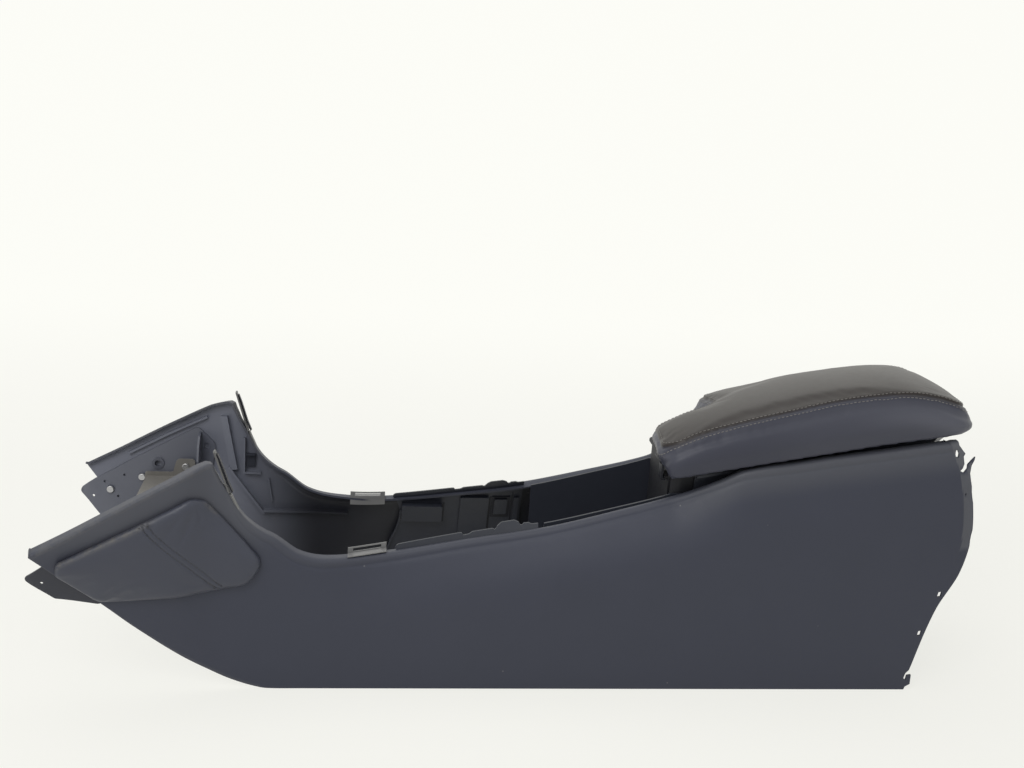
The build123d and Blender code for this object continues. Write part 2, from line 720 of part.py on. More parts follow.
def storage_bin():
    """The moulded tub under the armrest, with a sloping flange."""
    half = CARRIER_HALF - CARRIER_WALL - SEAT
    front, rear = BIN_X
    view = outline(((front, BIN_FLOOR), (front, under(front, -BIN_DROP)),
                    (rear, under(rear, -BIN_DROP)), (rear, BIN_FLOOR)))
    tub = across(view, half)
    tub = fillet(tub.edges().filter_by(Axis.Z), BIN_ROUND)
    inside = across(outline(((front + BIN_WALL, BIN_FLOOR + BIN_WALL), (front + BIN_WALL, under(front, 20)),
                             (rear - BIN_WALL, under(rear, 20)), (rear - BIN_WALL, BIN_FLOOR + BIN_WALL))),
                    half - BIN_WALL)
    inside = fillet(inside.edges().filter_by(Axis.Z), BIN_ROUND - BIN_WALL)
    flange = across(slab((front, BIN_FLANGE_END), -BIN_DROP - BIN_WALL, -BIN_DROP), CARRIER_FLANGE)
    flange = fillet(flange.edges().filter_by(Axis.Z), 8)
    return tub + flange - inside


def bin_mat():
    """The rubber mat on the bin's floor."""
    gap = BIN_WALL + 1.5
    half = CARRIER_HALF - CARRIER_WALL - SEAT - gap
    low = BIN_FLOOR + BIN_WALL + 0.1
    mat = block((BIN_X[0] + gap, BIN_X[1] - gap), (-half, half), (low, low + MAT_THICK))
    return fillet(mat.edges().filter_by(Axis.Z), BIN_ROUND - gap)


def lid_plan(inset):
    """Plan of the lid: a long near half, a shorter far half and rounded corners."""
    half, front, rear = LID_HALF - inset, LID_FRONT + inset, LID_REAR - inset
    step = LID_STEP + inset
    corners = ((front, -half), (rear, -half), (rear, half), (step, half), (step, 8 - inset / 2),
               (front + LID_SKEW, 8 - inset / 2))
    rounds = [max(4, r - inset) for r in (36, 34, 34, 34, 14, 24)]
    return outline(corners, rounds)


def lid_top(x, y):
    """Height of the armrest's top: highest along the near seam, falling to the far side."""
    seam = (
        (0, LID_THICK - 32.6),
        (0.05, LID_THICK - 24.2),
        (0.095, LID_THICK - 17.8),
        (0.147, LID_THICK - 12.7),
        (0.257, LID_THICK - 7.1),
        (0.411, LID_THICK - 2.7),
        (0.553, LID_THICK),
        (0.668, LID_THICK - 1.2),
        (0.771, LID_THICK - 5.5),
        (0.848, LID_THICK - 13.8),
        (0.905, LID_THICK - 23.1),
        (0.951, LID_THICK - 33.6),
        (1, LID_THICK - 53.3),
    )
    fall = ((0.617, LID_FALL), (0.784, LID_FALL - 4), (0.907, LID_FALL - 15), (1, 0))
    share = (x - LID_FRONT) / (LID_REAR - LID_FRONT)
    inner = LID_HALF - LID_INSET
    u = min(1.0, max(0.0, (y + inner) / (2 * inner)))
    return under(x) + along(seam, share) - along(fall, share) * u**1.3 + 4 * LID_DOME * u * (1 - u)


def lid_section(y):
    """Side view of the armrest at one place across it."""
    edge = abs(y) / LID_HALF
    tuck = LID_HALF * (1 - (1 - edge**6) ** 0.5) * 0.42
    far = 0.0 if y < -4 else min(1.0, (y + 4) / 26.0) ** 0.7
    near_front = LID_FRONT + LID_SKEW * (min(y, 8) + LID_HALF) / (LID_HALF + 8)
    front = near_front + (LID_STEP - near_front) * far + tuck
    rear = LID_REAR - tuck
    lean, heel = min(24, (rear - front) / 3), min(12, (rear - front) / 4)
    points = [(front + lean, under(front + lean)), (front + lean / 2, under(front) + 9), (front + 1, under(front) + 24)]
    for t in (0.02, 0.08, 0.18, 0.32, 0.5, 0.68, 0.82, 0.92, 0.97):
        x = front + (rear - front) * t
        nose = 9.0 * max(0.0, 1 - t / 0.08) ** 2
        points.append((x, max(lid_top(x, y) - 26.0 * edge**24 - nose, under(front) + 28 + 30 * t)))
    points += [(rear, under(rear) + 12), (rear - heel, under(rear - heel))]
    return outline(points)


def armrest_pad():
    """The leather-covered foam of the armrest, hollow underneath for its core."""
    places = (-104, -101, -95, -84, -66, -40, -14, -4, 2, 8, 15, 22, 40, 66, 84, 95, 101, 104)
    pad = loft([Plane.XZ.offset(-y) * lid_section(y) for y in places], ruled=True)
    pocket = across(slab((LID_FRONT, LID_REAR), -30, BASE_THICK + CORE_THICK + 2 * SEAT), LID_HALF)
    plan = extrude(lid_plan(LID_INSET - SEAT), amount=500)
    return pad - (pocket & plan) - latch_recess(2 * SEAT + EAR_WALL)


def latch_recess(grow):
    """The hollow in the lid's nose that the latch lever swings in."""
    half = LATCH_WIDE / 2 + grow
    x = (LID_FRONT - 5, LATCH_X + LATCH_HUB + 1 + grow)
    z = (under(LATCH_X) - 20, under(LATCH_X, LATCH_RISE + LATCH_HUB + 3 + grow))
    return block(x, (LATCH_Y - half, LATCH_Y + half), z)


def armrest_base():
    """The hard lining under the armrest, with its edge bead and latch ears."""
    plan = extrude(lid_plan(LID_INSET), amount=500)
    ring = extrude(lid_plan(LID_INSET) - lid_plan(LID_INSET + BEAD_WIDE), amount=500)
    x = (LID_FRONT, LID_REAR)
    trim = block((NOSE_FRONT, LID_REAR), (-LID_HALF, LID_HALF), (0, 500))
    base = across(slab(x, 0, BASE_THICK), LID_HALF) & plan & trim
    base += across(slab(x, -BEAD, 1), LID_HALF) & ring & trim
    base -= latch_recess(SEAT)
    ear_x = (LATCH_X - LATCH_HUB, LATCH_X + LATCH_HUB)
    for side in (-1, 1):
        near = LATCH_Y + side * (LATCH_WIDE / 2 + SEAT)
        ear = block(ear_x, sorted((near, near + side * EAR_WALL)), (under(LATCH_X), under(LATCH_X, 9.5)))
        base += ear
    pivot = latch_pivot()
    base -= drum(LATCH_PIN + HINGE_FIT, LATCH_WIDE + 6, pivot[0], LATCH_Y, pivot[1])
    for u, y in leaf_screws():
        base -= on_lid(u, y) * Cylinder(SCREW_SHANK + SCREW_FIT, 12)
    for u, y in core_screws():
        base -= on_lid(u, y) * Cylinder(SCREW_SHANK + SCREW_FIT, 12)
    return base


def armrest_core():
    """The stiff moulded core that the foam and leather are wrapped round."""
    plan = extrude(lid_plan(LID_INSET + 3), amount=500)
    low, high = BASE_THICK + SEAT, BASE_THICK + SEAT + CORE_THICK
    core = across(slab((LID_FRONT, LID_REAR), low, high), LID_HALF) & plan
    core &= block((LATCH_X + 20, LID_REAR), (-LID_HALF, LID_HALF), (0, 500))
    for u, y in core_screws():
        core -= on_lid(u, y) * Cylinder(SCREW_SHANK + SCREW_FIT, 2 * (BASE_THICK + 4))
    return core


def core_screws():
    """Where screws join the lining to the core."""
    return [(x, y) for x in (LID_STEP + 73, LID_REAR - 94) for y in (-70.0, 70.0)] + [(LID_STEP - 12, -70.0)]


def leaf_screws():
    """Where screws join the moving hinge leaf to the lining."""
    return [(x, y) for x in (LEAF_FRONT + 12,) for y in (-48.0, -16.0, 16.0, 48.0)]


def lid_screws(places, seat):
    """Screws that come up into the lining from below, square to its slope."""
    group = Part()
    for x, y in places:
        group += on_lid(x, y, seat) * Rot(180, 0, 0) * screw(BASE_THICK + 2)
    return group


def hinge_axis():
    """The lid's turning axis in the side view."""
    return HINGE_X, under(HINGE_X, -HINGE_DROP)


def knuckle_spans(moving):
    """The stretches across the car where each hinge leaf wraps the pin."""
    pitch = KNUCKLE_LONG + KNUCKLE_GAP
    places = (-1, 1) if moving else (-2, 0, 2)
    return [(i * pitch - KNUCKLE_LONG / 2, i * pitch + KNUCKLE_LONG / 2) for i in places]


def knuckle(span):
    """One rolled eye of a hinge leaf."""
    x, z = hinge_axis()
    middle = (span[0] + span[1]) / 2
    return drum(HINGE_KNUCKLE, span[1] - span[0], x, middle, z)


def moving_leaf():
    """The steel hinge leaf under the lid."""
    half = 2.5 * KNUCKLE_LONG
    low, high = -LEAF_WALL - SEAT, -SEAT
    leaf = across(slab((LEAF_FRONT, LEAF_REAR), low, high), half)
    for span in knuckle_spans(True):
        tongue = across(slab((LEAF_REAR - 1, HINGE_X), low, high), half)
        leaf += (tongue & block((LEAF_REAR - 2, LENGTH), span, (0, 500))) + knuckle(span)
    x, z = hinge_axis()
    leaf -= drum(HINGE_PIN + HINGE_FIT, 6 * KNUCKLE_LONG, x, 0, z)
    for u, y in leaf_screws():
        leaf -= on_lid(u, y) * Cylinder(SCREW_SHANK + SCREW_FIT, 12)
    return leaf


def fixed_leaf():
    """The steel hinge plate on the carrier's rear wall."""
    half = 2.5 * KNUCKLE_LONG
    face = CARRIER_X[1] + SEAT
    x, z = hinge_axis()
    top = plate_z()[1]
    plate = block((face, face + LEAF_WALL), (-half, half), plate_z())
    arm = outline(((face, top - 1), (face + LEAF_WALL, top - 2),
                   (x + 3.2, z - 4), (x - 2, z + 1), (x - 3.5, z - 1)))
    for span in knuckle_spans(False):
        plate += (across(arm, LENGTH) & block((0, LENGTH), span, (0, 500))) + knuckle(span)
    plate -= drum(HINGE_PIN + HINGE_FIT, 6 * KNUCKLE_LONG, x, 0, z)
    for y, hole_z in hinge_plate_holes():
        plate -= Pos(face, y, hole_z) * Rot(0, 90, 0) * Cylinder(SCREW_SHANK + SCREW_FIT, 12)
    return plate


def hinge_pin():
    """The pin through both hinge leaves, with a formed head at each end."""
    x, z = hinge_axis()
    half = 2.5 * KNUCKLE_LONG + 2 * KNUCKLE_GAP + SEAT
    pin = drum(HINGE_PIN, 2 * half, x, 0, z)
    for side in (-1, 1):
        pin += drum(HINGE_PIN + 1.2, 1.6, x, side * (half + 0.8), z)
    return pin


def hinge_plate_screws():
    """Screws that hold the fixed plate to the carrier."""
    group = Part()
    face = CARRIER_X[1] + SEAT + LEAF_WALL
    for y, z in hinge_plate_holes():
        group += Pos(face, y, z) * Rot(0, 90, 0) * screw(LEAF_WALL + CARRIER_WALL + 2)
    return group


def latch_pivot():
    """The latch lever's turning axis in the side view."""
    return LATCH_X, under(LATCH_X, LATCH_RISE)


def latch_lever():
    """The paddle and hook of the lid latch, one moulding on its pin."""
    x, z = latch_pivot()
    half = LATCH_WIDE / 2
    hub = drum(LATCH_HUB, LATCH_WIDE, x, LATCH_Y, z)
    paddle = outline(((x + 1, z - 3.9), (x - 4, z - 5.2), (x - 17, z + 4), (x - 15.5, z + 6.5), (x - 2, z + 3)))
    low = z - LATCH_ARM
    hook = outline(((x - 4.2, z), (x - 4.2, low - 3), (x + 1.5, low - 3), (x + 2.5, low),
                    (x - 1.4, low), (x - 1.4, z)))
    span = (LATCH_Y - half, LATCH_Y + half)
    middle = (LATCH_Y - half / 2, LATCH_Y + half / 2)
    lever = hub + (across(paddle, LENGTH) & block((0, LENGTH), span, (0, 500)))
    lever += across(hook, LENGTH) & block((0, LENGTH), middle, (0, 500))
    lever -= drum(LATCH_HUB + 3, 7.5, x, span[1] - 3.75, z)
    return lever - drum(LATCH_PIN + HINGE_FIT, 2 * LATCH_WIDE, x, LATCH_Y, z)


def latch_pin():
    """The steel pin of the latch lever."""
    x, z = latch_pivot()
    return drum(LATCH_PIN, LATCH_WIDE + 2 * EAR_WALL + 2 * SEAT, x, LATCH_Y, z)


def latch_spring():
    """The coil beside the lever's hub, as one sleeve."""
    x, z = latch_pivot()
    place = (x, LATCH_Y + LATCH_WIDE / 2 - 3.6, z)
    return drum(LATCH_PIN + 1.4, 6.4, *place) - drum(LATCH_PIN + 0.2, 20, *place)


def latch_striker():
    """The bent steel catch on the bin's front wall."""
    face = BIN_X[0] - SEAT
    top = latch_pivot()[1] - LATCH_ARM + 1.5 + STRIKER_WALL
    tip = LATCH_X - 0.5
    view = outline(((face - STRIKER_WALL, top - 26), (face, top - 26), (face, top), (tip, top),
                    (tip, top - STRIKER_WALL), (face - STRIKER_WALL, top - STRIKER_WALL)))
    half = LATCH_WIDE / 4 + 4
    return across(view, LENGTH) & block((0, LENGTH), (LATCH_Y - half, LATCH_Y + half), (0, 500))


def bumpers():
    """Rubber bumpers on the bin's flange, which the closed lid rests on."""
    group = Part()
    tall = BIN_DROP - 2 * SEAT
    for x in BUMPER_X:
        for y in (-BUMPER_Y, BUMPER_Y):
            group += on_lid(x, y, -BIN_DROP / 2) * Cylinder(BUMPER_ROUND, tall)
    return group


def foot_screws():
    """Upright screws through the carrier and the cross member into one panel's shelves."""
    group = Pos(MEMBER_X, -SHELF_SCREW, SHELF_Z + SEAT + BRACE_WALL) * screw(5)
    for leg in CARRIER_LEGS:
        group += Pos(leg, -SHELF_SCREW, SHELF_Z + SEAT + CARRIER_WALL) * screw(6)
    return group


def bracket_screws():
    """Screws that hold the front bracket to the wing, left hand."""
    group = Part()
    for x, z in BRACKET_SCREWS:
        seat = wing_half(x, z) - WALL - SEAT - BRACKET_WALL - BOSS_RISE
        length = BOSS_RISE + BRACKET_WALL + SEAT + WALL - SKIN_LEFT - SEAT
        group += Pos(x, -seat, z) * Rot(-90, 0, 0) * screw(length)
    return group


def brace_screws():
    """Screws that hold the brace to one front bracket, left hand."""
    group = Part()
    for x, z in BRACE_BOLTS:
        seat = BRACE_HALF - BRACE_WALL
        group += Pos(x, -seat, z) * Rot(-90, 0, 0) * screw(BRACE_WALL + 4)
    return group


def wing_clip():
    """The small bent clip in the pocket inside the wing, left hand."""
    out, back = WALL + SEAT, WALL + SEAT + CLIP_WALL
    clip = wing_layer(out, back) & prism(rectangle((211, 223), (192, 210)), *CUTTER)
    return clip + (wing_layer(out, back + 6) & prism(rectangle((211, 223), (208.8, 210)), *CUTTER))


def build_parts():
    """Every piece by name, in place, with X still measured from the front tip."""
    parts = {}
    paired = {
        "side_panel": side_panel,
        "knee_pad": knee_pad,
        "front_bracket": front_bracket,
        "bracket_screws": bracket_screws,
        "brace_screws": brace_screws,
        "rim_clip": rim_clip,
        "wing_clip": wing_clip,
        "liner": liner,
        "foot_screws": foot_screws,
    }
    for name, make in paired.items():
        left = make()
        parts["left_" + name] = left
        parts["right_" + name] = right_of(left)
    parts["front_brace"] = front_brace()
    parts["cross_member"] = cross_member()
    parts["inner_carrier"] = inner_carrier()
    parts["storage_bin"] = storage_bin()
    parts["bin_mat"] = bin_mat()
    parts["lid_bumpers"] = bumpers()
    parts["hinge_plate"] = fixed_leaf()
    parts["hinge_plate_screws"] = hinge_plate_screws()
    parts["hinge_pin"] = hinge_pin()
    parts["latch_striker"] = latch_striker()
    parts["armrest_pad"] = armrest_pad()
    parts["armrest_core"] = armrest_core()
    parts["armrest_base"] = armrest_base()
    parts["hinge_leaf"] = moving_leaf()
    parts["hinge_leaf_screws"] = lid_screws(leaf_screws(), -SEAT - LEAF_WALL)
    parts["armrest_screws"] = lid_screws(core_screws(), 0)
    parts["latch_lever"] = latch_lever()
    parts["latch_pin"] = latch_pin()
    parts["latch_spring"] = latch_spring()
    return parts


if __name__ == "__main__":
    os.makedirs("parts", exist_ok=True)
    for name, solid in build_parts().items():
        export_step(Pos(-LENGTH / 2, 0, 0) * solid, f"parts/{name}.step")
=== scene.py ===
import json
import logging
import math
from dataclasses import dataclass
from enum import Enum
from typing import Callable, Sequence

import bmesh
import bpy
import numpy as np
from mathutils import Matrix, Vector
from mathutils.bvhtree import BVHTree
from mathutils.geometry import delaunay_2d_cdt
from mathutils.kdtree import KDTree


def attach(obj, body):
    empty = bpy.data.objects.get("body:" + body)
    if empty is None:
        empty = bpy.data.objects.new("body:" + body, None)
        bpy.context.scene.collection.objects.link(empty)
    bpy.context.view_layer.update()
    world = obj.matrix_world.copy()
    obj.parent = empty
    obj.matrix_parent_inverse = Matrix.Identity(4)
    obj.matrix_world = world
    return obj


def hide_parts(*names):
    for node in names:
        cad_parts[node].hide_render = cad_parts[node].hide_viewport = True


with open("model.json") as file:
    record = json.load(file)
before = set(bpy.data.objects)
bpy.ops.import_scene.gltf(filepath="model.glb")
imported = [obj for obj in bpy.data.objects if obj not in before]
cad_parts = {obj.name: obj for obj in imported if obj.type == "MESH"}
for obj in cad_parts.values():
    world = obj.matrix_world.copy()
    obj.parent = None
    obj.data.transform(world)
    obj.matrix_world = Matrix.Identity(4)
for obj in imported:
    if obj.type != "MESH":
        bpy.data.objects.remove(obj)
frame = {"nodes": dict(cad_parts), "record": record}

log = logging.getLogger("console")
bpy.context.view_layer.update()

MM = 0.001
HALF_LENGTH = 542.0  # from the front tip to the frame's origin, in millimetres
SHEET = 2.6  # wall of the side panels
PACE = 1.5  # distance between points along a seam
CLOTH_FRAMES = 20


class Side(Enum):
    """Which side of the car a piece is on."""

    LEFT = "left"
    RIGHT = "right"


# ---------------------------------------------------------------- smooth lines and plain maths


def smooth(value: np.ndarray, low: float, high: float) -> np.ndarray:
    """A soft step from 0 at low to 1 at high.

    Args:
        value: Where the step is read.
        low: Where it leaves 0.
        high: Where it reaches 1.

    Returns:
        The step's value at each place.
    """
    t = np.clip((np.asarray(value, float) - low) / (high - low), 0, 1)
    return t * t * (3 - 2 * t)


@dataclass(frozen=True)
class Line:
    """A smooth line through (place, value) points, held level past its ends."""

    points: tuple[tuple[float, float], ...]

    def at(self, place: np.ndarray | float) -> np.ndarray:
        """Reads the line.

        Args:
            place: One place or many.

        Returns:
            The value at each place.
        """
        xs, ys = np.array(self.points, float).T
        gaps = np.diff(xs)
        slopes = np.empty_like(ys)
        slopes[1:-1] = (ys[2:] - ys[:-2]) / (xs[2:] - xs[:-2])
        slopes[0], slopes[-1] = (ys[1] - ys[0]) / gaps[0], (ys[-1] - ys[-2]) / gaps[-1]
        x = np.clip(np.asarray(place, float), xs[0], xs[-1])
        i = np.clip(np.searchsorted(xs, x, side="right") - 1, 0, len(xs) - 2)
        t = (x - xs[i]) / gaps[i]
        rise = ys[i] * (1 + 2 * t) * (1 - t) ** 2 + ys[i + 1] * t * t * (3 - 2 * t)
        return rise + gaps[i] * (slopes[i] * t * (1 - t) ** 2 + slopes[i + 1] * t * t * (t - 1))


def metres(points: np.ndarray) -> np.ndarray:
    """Turns millimetres from the front tip into metres in the shared frame."""
    moved = np.array(points, float)
    moved[..., 0] -= HALF_LENGTH
    return moved * MM


def rounded(corners: Sequence[tuple[float, float]], radii: Sequence[float], step: float = 4.0) -> np.ndarray:
    """A closed line of corners with each corner rounded by its own radius.

    Args:
        corners: The sharp corners in order.
        radii: One radius for each corner.
        step: The longest distance between points on the straight runs.

    Returns:
        The points of the rounded line.
    """
    points: list[np.ndarray] = []
    count = len(corners)
    for i, radius in enumerate(radii):
        here = np.array(corners[i], float)
        back = np.array(corners[i - 1], float) - here
        on = np.array(corners[(i + 1) % count], float) - here
        back, on = back / np.linalg.norm(back), on / np.linalg.norm(on)
        half = math.acos(float(np.clip(back @ on, -1, 1))) / 2
        reach = radius / math.tan(half)
        middle = here + (back + on) / np.linalg.norm(back + on) * radius / math.sin(half)
        start, end = here + back * reach - middle, here + on * reach - middle
        sweep = math.atan2(start[0] * end[1] - start[1] * end[0], float(start @ end))
        turns = max(3, int(abs(sweep) * radius / 3))
        for k in range(turns + 1):
            a = sweep * k / turns
            spin = np.array([[math.cos(a), -math.sin(a)], [math.sin(a), math.cos(a)]])
            points.append(middle + spin @ start)
    line: list[np.ndarray] = []
    for a, b in zip(points, points[1:] + points[:1]):
        parts = max(1, round(float(np.linalg.norm(b - a)) / step))
        line += [a + (b - a) * k / parts for k in range(parts)]
    return np.array(line)


def inset(outline: np.ndarray, amount: np.ndarray | float) -> np.ndarray:
    """Moves each point of a closed line inwards.

    Args:
        outline: The line's points, anticlockwise.
        amount: How far each point moves.

    Returns:
        The moved points.
    """
    along = np.roll(outline, -1, 0) - np.roll(outline, 1, 0)
    normal = np.stack([-along[:, 1], along[:, 0]], 1) / np.linalg.norm(along, axis=1, keepdims=True)
    return outline + normal * np.reshape(amount, (-1, 1))


# ---------------------------------------------------------------- meshes


def link(name: str, data: bpy.types.ID) -> bpy.types.Object:
    """Puts a mesh, a light or a camera into the scene as an object."""
    made = bpy.data.objects.new(name, data)
    bpy.context.scene.collection.objects.link(made)
    return made


def read(mesh: bpy.types.Mesh, key: str = "co") -> np.ndarray:
    """The places or normals of a mesh's points, one row each."""
    values = np.empty(len(mesh.vertices) * 3, np.float32)
    mesh.vertices.foreach_get(key, values)
    return values.reshape(-1, 3)


def from_tip(places: np.ndarray) -> np.ndarray:
    """Turns metres in the shared frame into millimetres from the front tip."""
    return places / MM + np.array([HALF_LENGTH, 0, 0])


def mark(mesh: bpy.types.Mesh, name: str, values: np.ndarray) -> None:
    """Stores a value on each point, under a name that the materials read."""
    layer = mesh.attributes.new(name, "FLOAT", "POINT")
    layer.data.foreach_set("value", np.ravel(values).astype(np.float32))


def shade_smooth(mesh: bpy.types.Mesh) -> None:
    """Shades every face smooth."""
    mesh.polygons.foreach_set("use_smooth", [True] * len(mesh.polygons))


def new_mesh(name: str, points: np.ndarray, faces: Sequence[Sequence[int]],
             material: bpy.types.Material) -> bpy.types.Object:
    """Makes a smooth-shaded object from points in metres.

    Args:
        name: The piece's name.
        points: Its vertices.
        faces: Vertex numbers of each face.
        material: What it is made of.

    Returns:
        The new object.
    """
    mesh = bpy.data.meshes.new(name)
    mesh.from_pydata([tuple(p) for p in points], [], [tuple(f) for f in faces])
    mesh.materials.append(material)
    shade_smooth(mesh)
    return link(name, mesh)


def bake(piece: bpy.types.Object) -> bpy.types.Object:
    """Turns a piece's modifiers into plain geometry.

    Args:
        piece: The piece with its modifiers.

    Returns:
        The same object with the finished mesh.
    """
    graph = bpy.context.evaluated_depsgraph_get()
    mesh = bpy.data.meshes.new_from_object(piece.evaluated_get(graph))
    materials = [slot.material for slot in piece.material_slots]
    piece.modifiers.clear()
    old, piece.data = piece.data, mesh
    if not mesh.materials:
        for material in materials:
            mesh.materials.append(material)
    name = old.name
    if old.users == 0:
        bpy.data.meshes.remove(old)
    mesh.name = name
    return piece


def join(name: str, pieces: Sequence[bpy.types.Object]) -> bpy.types.Object:
    """Joins several objects into one.

    Args:
        name: The joined piece's name.
        pieces: What is joined; the first keeps its materials in front.

    Returns:
        The joined object.
    """
    joined = bmesh.new()
    materials: list[bpy.types.Material] = []
    for piece in pieces:
        start = len(joined.faces)
        joined.from_mesh(piece.data)
        joined.faces.ensure_lookup_table()
        numbers = []
        for material in piece.data.materials:
            if material not in materials:
                materials.append(material)
            numbers.append(materials.index(material))
        for face in joined.faces[start:]:
            face.material_index = numbers[min(face.material_index, len(numbers) - 1)]
    mesh = bpy.data.meshes.new(name)
    joined.to_mesh(mesh)
    joined.free()
    for material in materials:
        mesh.materials.append(material)
    for piece in pieces:
        bpy.data.objects.remove(piece)
    return link(name, mesh)


def sharpen(piece: bpy.types.Object, degrees: float = 35.0) -> None:
    """Shades a piece smooth, with sharp edges where faces turn by more than an angle."""
    shade_smooth(piece.data)
    piece.data.set_sharp_from_angle(angle=math.radians(degrees))


def outwards(piece: bpy.types.Object, merge: float = 1e-6) -> None:
    """Merges doubled points of a closed mesh and turns its faces outwards."""
    work = bmesh.new()
    work.from_mesh(piece.data)
    bmesh.ops.remove_doubles(work, verts=work.verts, dist=merge)
    bmesh.ops.recalc_face_normals(work, faces=work.faces)
    work.to_mesh(piece.data)
    work.free()


def prism(name: str, shape: np.ndarray, near: float, far: float,
          material: bpy.types.Material) -> bpy.types.Object:
    """A solid over a side-view outline, between two half widths on the left side.

    Args:
        name: The mesh's name.
        shape: The outline, in millimetres from the front tip and from the floor.
        near: The smaller half width.
        far: The larger half width.
        material: What it is made of.

    Returns:
        The solid.
    """
    count = len(shape)
    points = [(x, -y, z) for y in (near, far) for x, z in shape]
    faces = [list(range(count)), list(range(2 * count - 1, count - 1, -1))]
    faces += [[i, (i + 1) % count, count + (i + 1) % count, count + i] for i in range(count)]
    piece = new_mesh(name, metres(np.array(points)), faces, material)
    outwards(piece)
    return piece


def cut(piece: bpy.types.Object, tools: Sequence[bpy.types.Object]) -> bpy.types.Object:
    """Cuts solids out of a piece.

    Args:
        piece: The closed piece that is cut.
        tools: The closed solids that are taken away, and deleted.

    Returns:
        The piece after the cut.
    """
    for tool in tools:
        cutter = piece.modifiers.new("cut", "BOOLEAN")
        cutter.operation = "DIFFERENCE"
        cutter.solver = "EXACT"
        cutter.object = tool
    bake(piece)
    for tool in tools:
        bpy.data.objects.remove(tool)
    return piece


def mirrored(piece: bpy.types.Object, name: str) -> bpy.types.Object:
    """A copy of a left-hand piece for the right side."""
    mesh = piece.data.copy()
    mesh.transform(Matrix.Diagonal((1, -1, 1, 1)))
    mesh.flip_normals()
    mesh.name = name
    return link(name, mesh)


# ---------------------------------------------------------------- shader groups


def group_of(name: str, inputs: dict[str, float], outputs: Sequence[str]) -> bpy.types.ShaderNodeTree:
    """An empty shader node group with named sockets.

    Args:
        name: The group's name.
        inputs: Each input with its first value.
        outputs: The outputs' names.

    Returns:
        The group's tree.
    """
    tree = bpy.data.node_groups.new(name, "ShaderNodeTree")
    for key, value in inputs.items():
        socket = tree.interface.new_socket(key, in_out="INPUT", socket_type="NodeSocketFloat")
        socket.default_value = value
    for key in outputs:
        tree.interface.new_socket(key, in_out="OUTPUT", socket_type="NodeSocketFloat")
    return tree


class Nodes:
    """Small helper that adds and links nodes in one tree."""

    def __init__(self, tree: bpy.types.NodeTree) -> None:
        """Keeps the tree that nodes are added to."""
        self.tree = tree

    def add(self, kind: str, values: dict | None = None, **settings: object) -> bpy.types.Node:
        """Adds a node.

        Args:
            kind: The node's type name.
            values: Input sockets by name or number, each a constant or another node's output.
            **settings: The node's own properties.

        Returns:
            The new node.
        """
        node = self.tree.nodes.new(kind)
        for key, value in settings.items():
            setattr(node, key, value)
        for key, value in (values or {}).items():
            if isinstance(value, bpy.types.NodeSocket):
                self.tree.links.new(value, node.inputs[key])
            else:
                node.inputs[key].default_value = value
        return node

    def maths(self, operation: str, first: object, second: object = 0.0,
              clamp: bool = False) -> bpy.types.NodeSocket:
        """Adds one step of arithmetic and returns its output."""
        node = self.add("ShaderNodeMath", {0: first, 1: second}, operation=operation, use_clamp=clamp)
        return node.outputs[0]

    def place(self) -> bpy.types.NodeSocket:
        """Adds the Object coordinates, which are metres in the shared frame."""
        return self.add("ShaderNodeTexCoord").outputs["Object"]

    def ramp(self, value: object, low: float, high: float) -> bpy.types.NodeSocket:
        """Adds a soft step from 0 at low to 1 at high and returns its output."""
        node = self.add("ShaderNodeMapRange", {"Value": value, "From Min": low, "From Max": high})
        node.interpolation_type = "SMOOTHSTEP"
        return node.outputs["Result"]


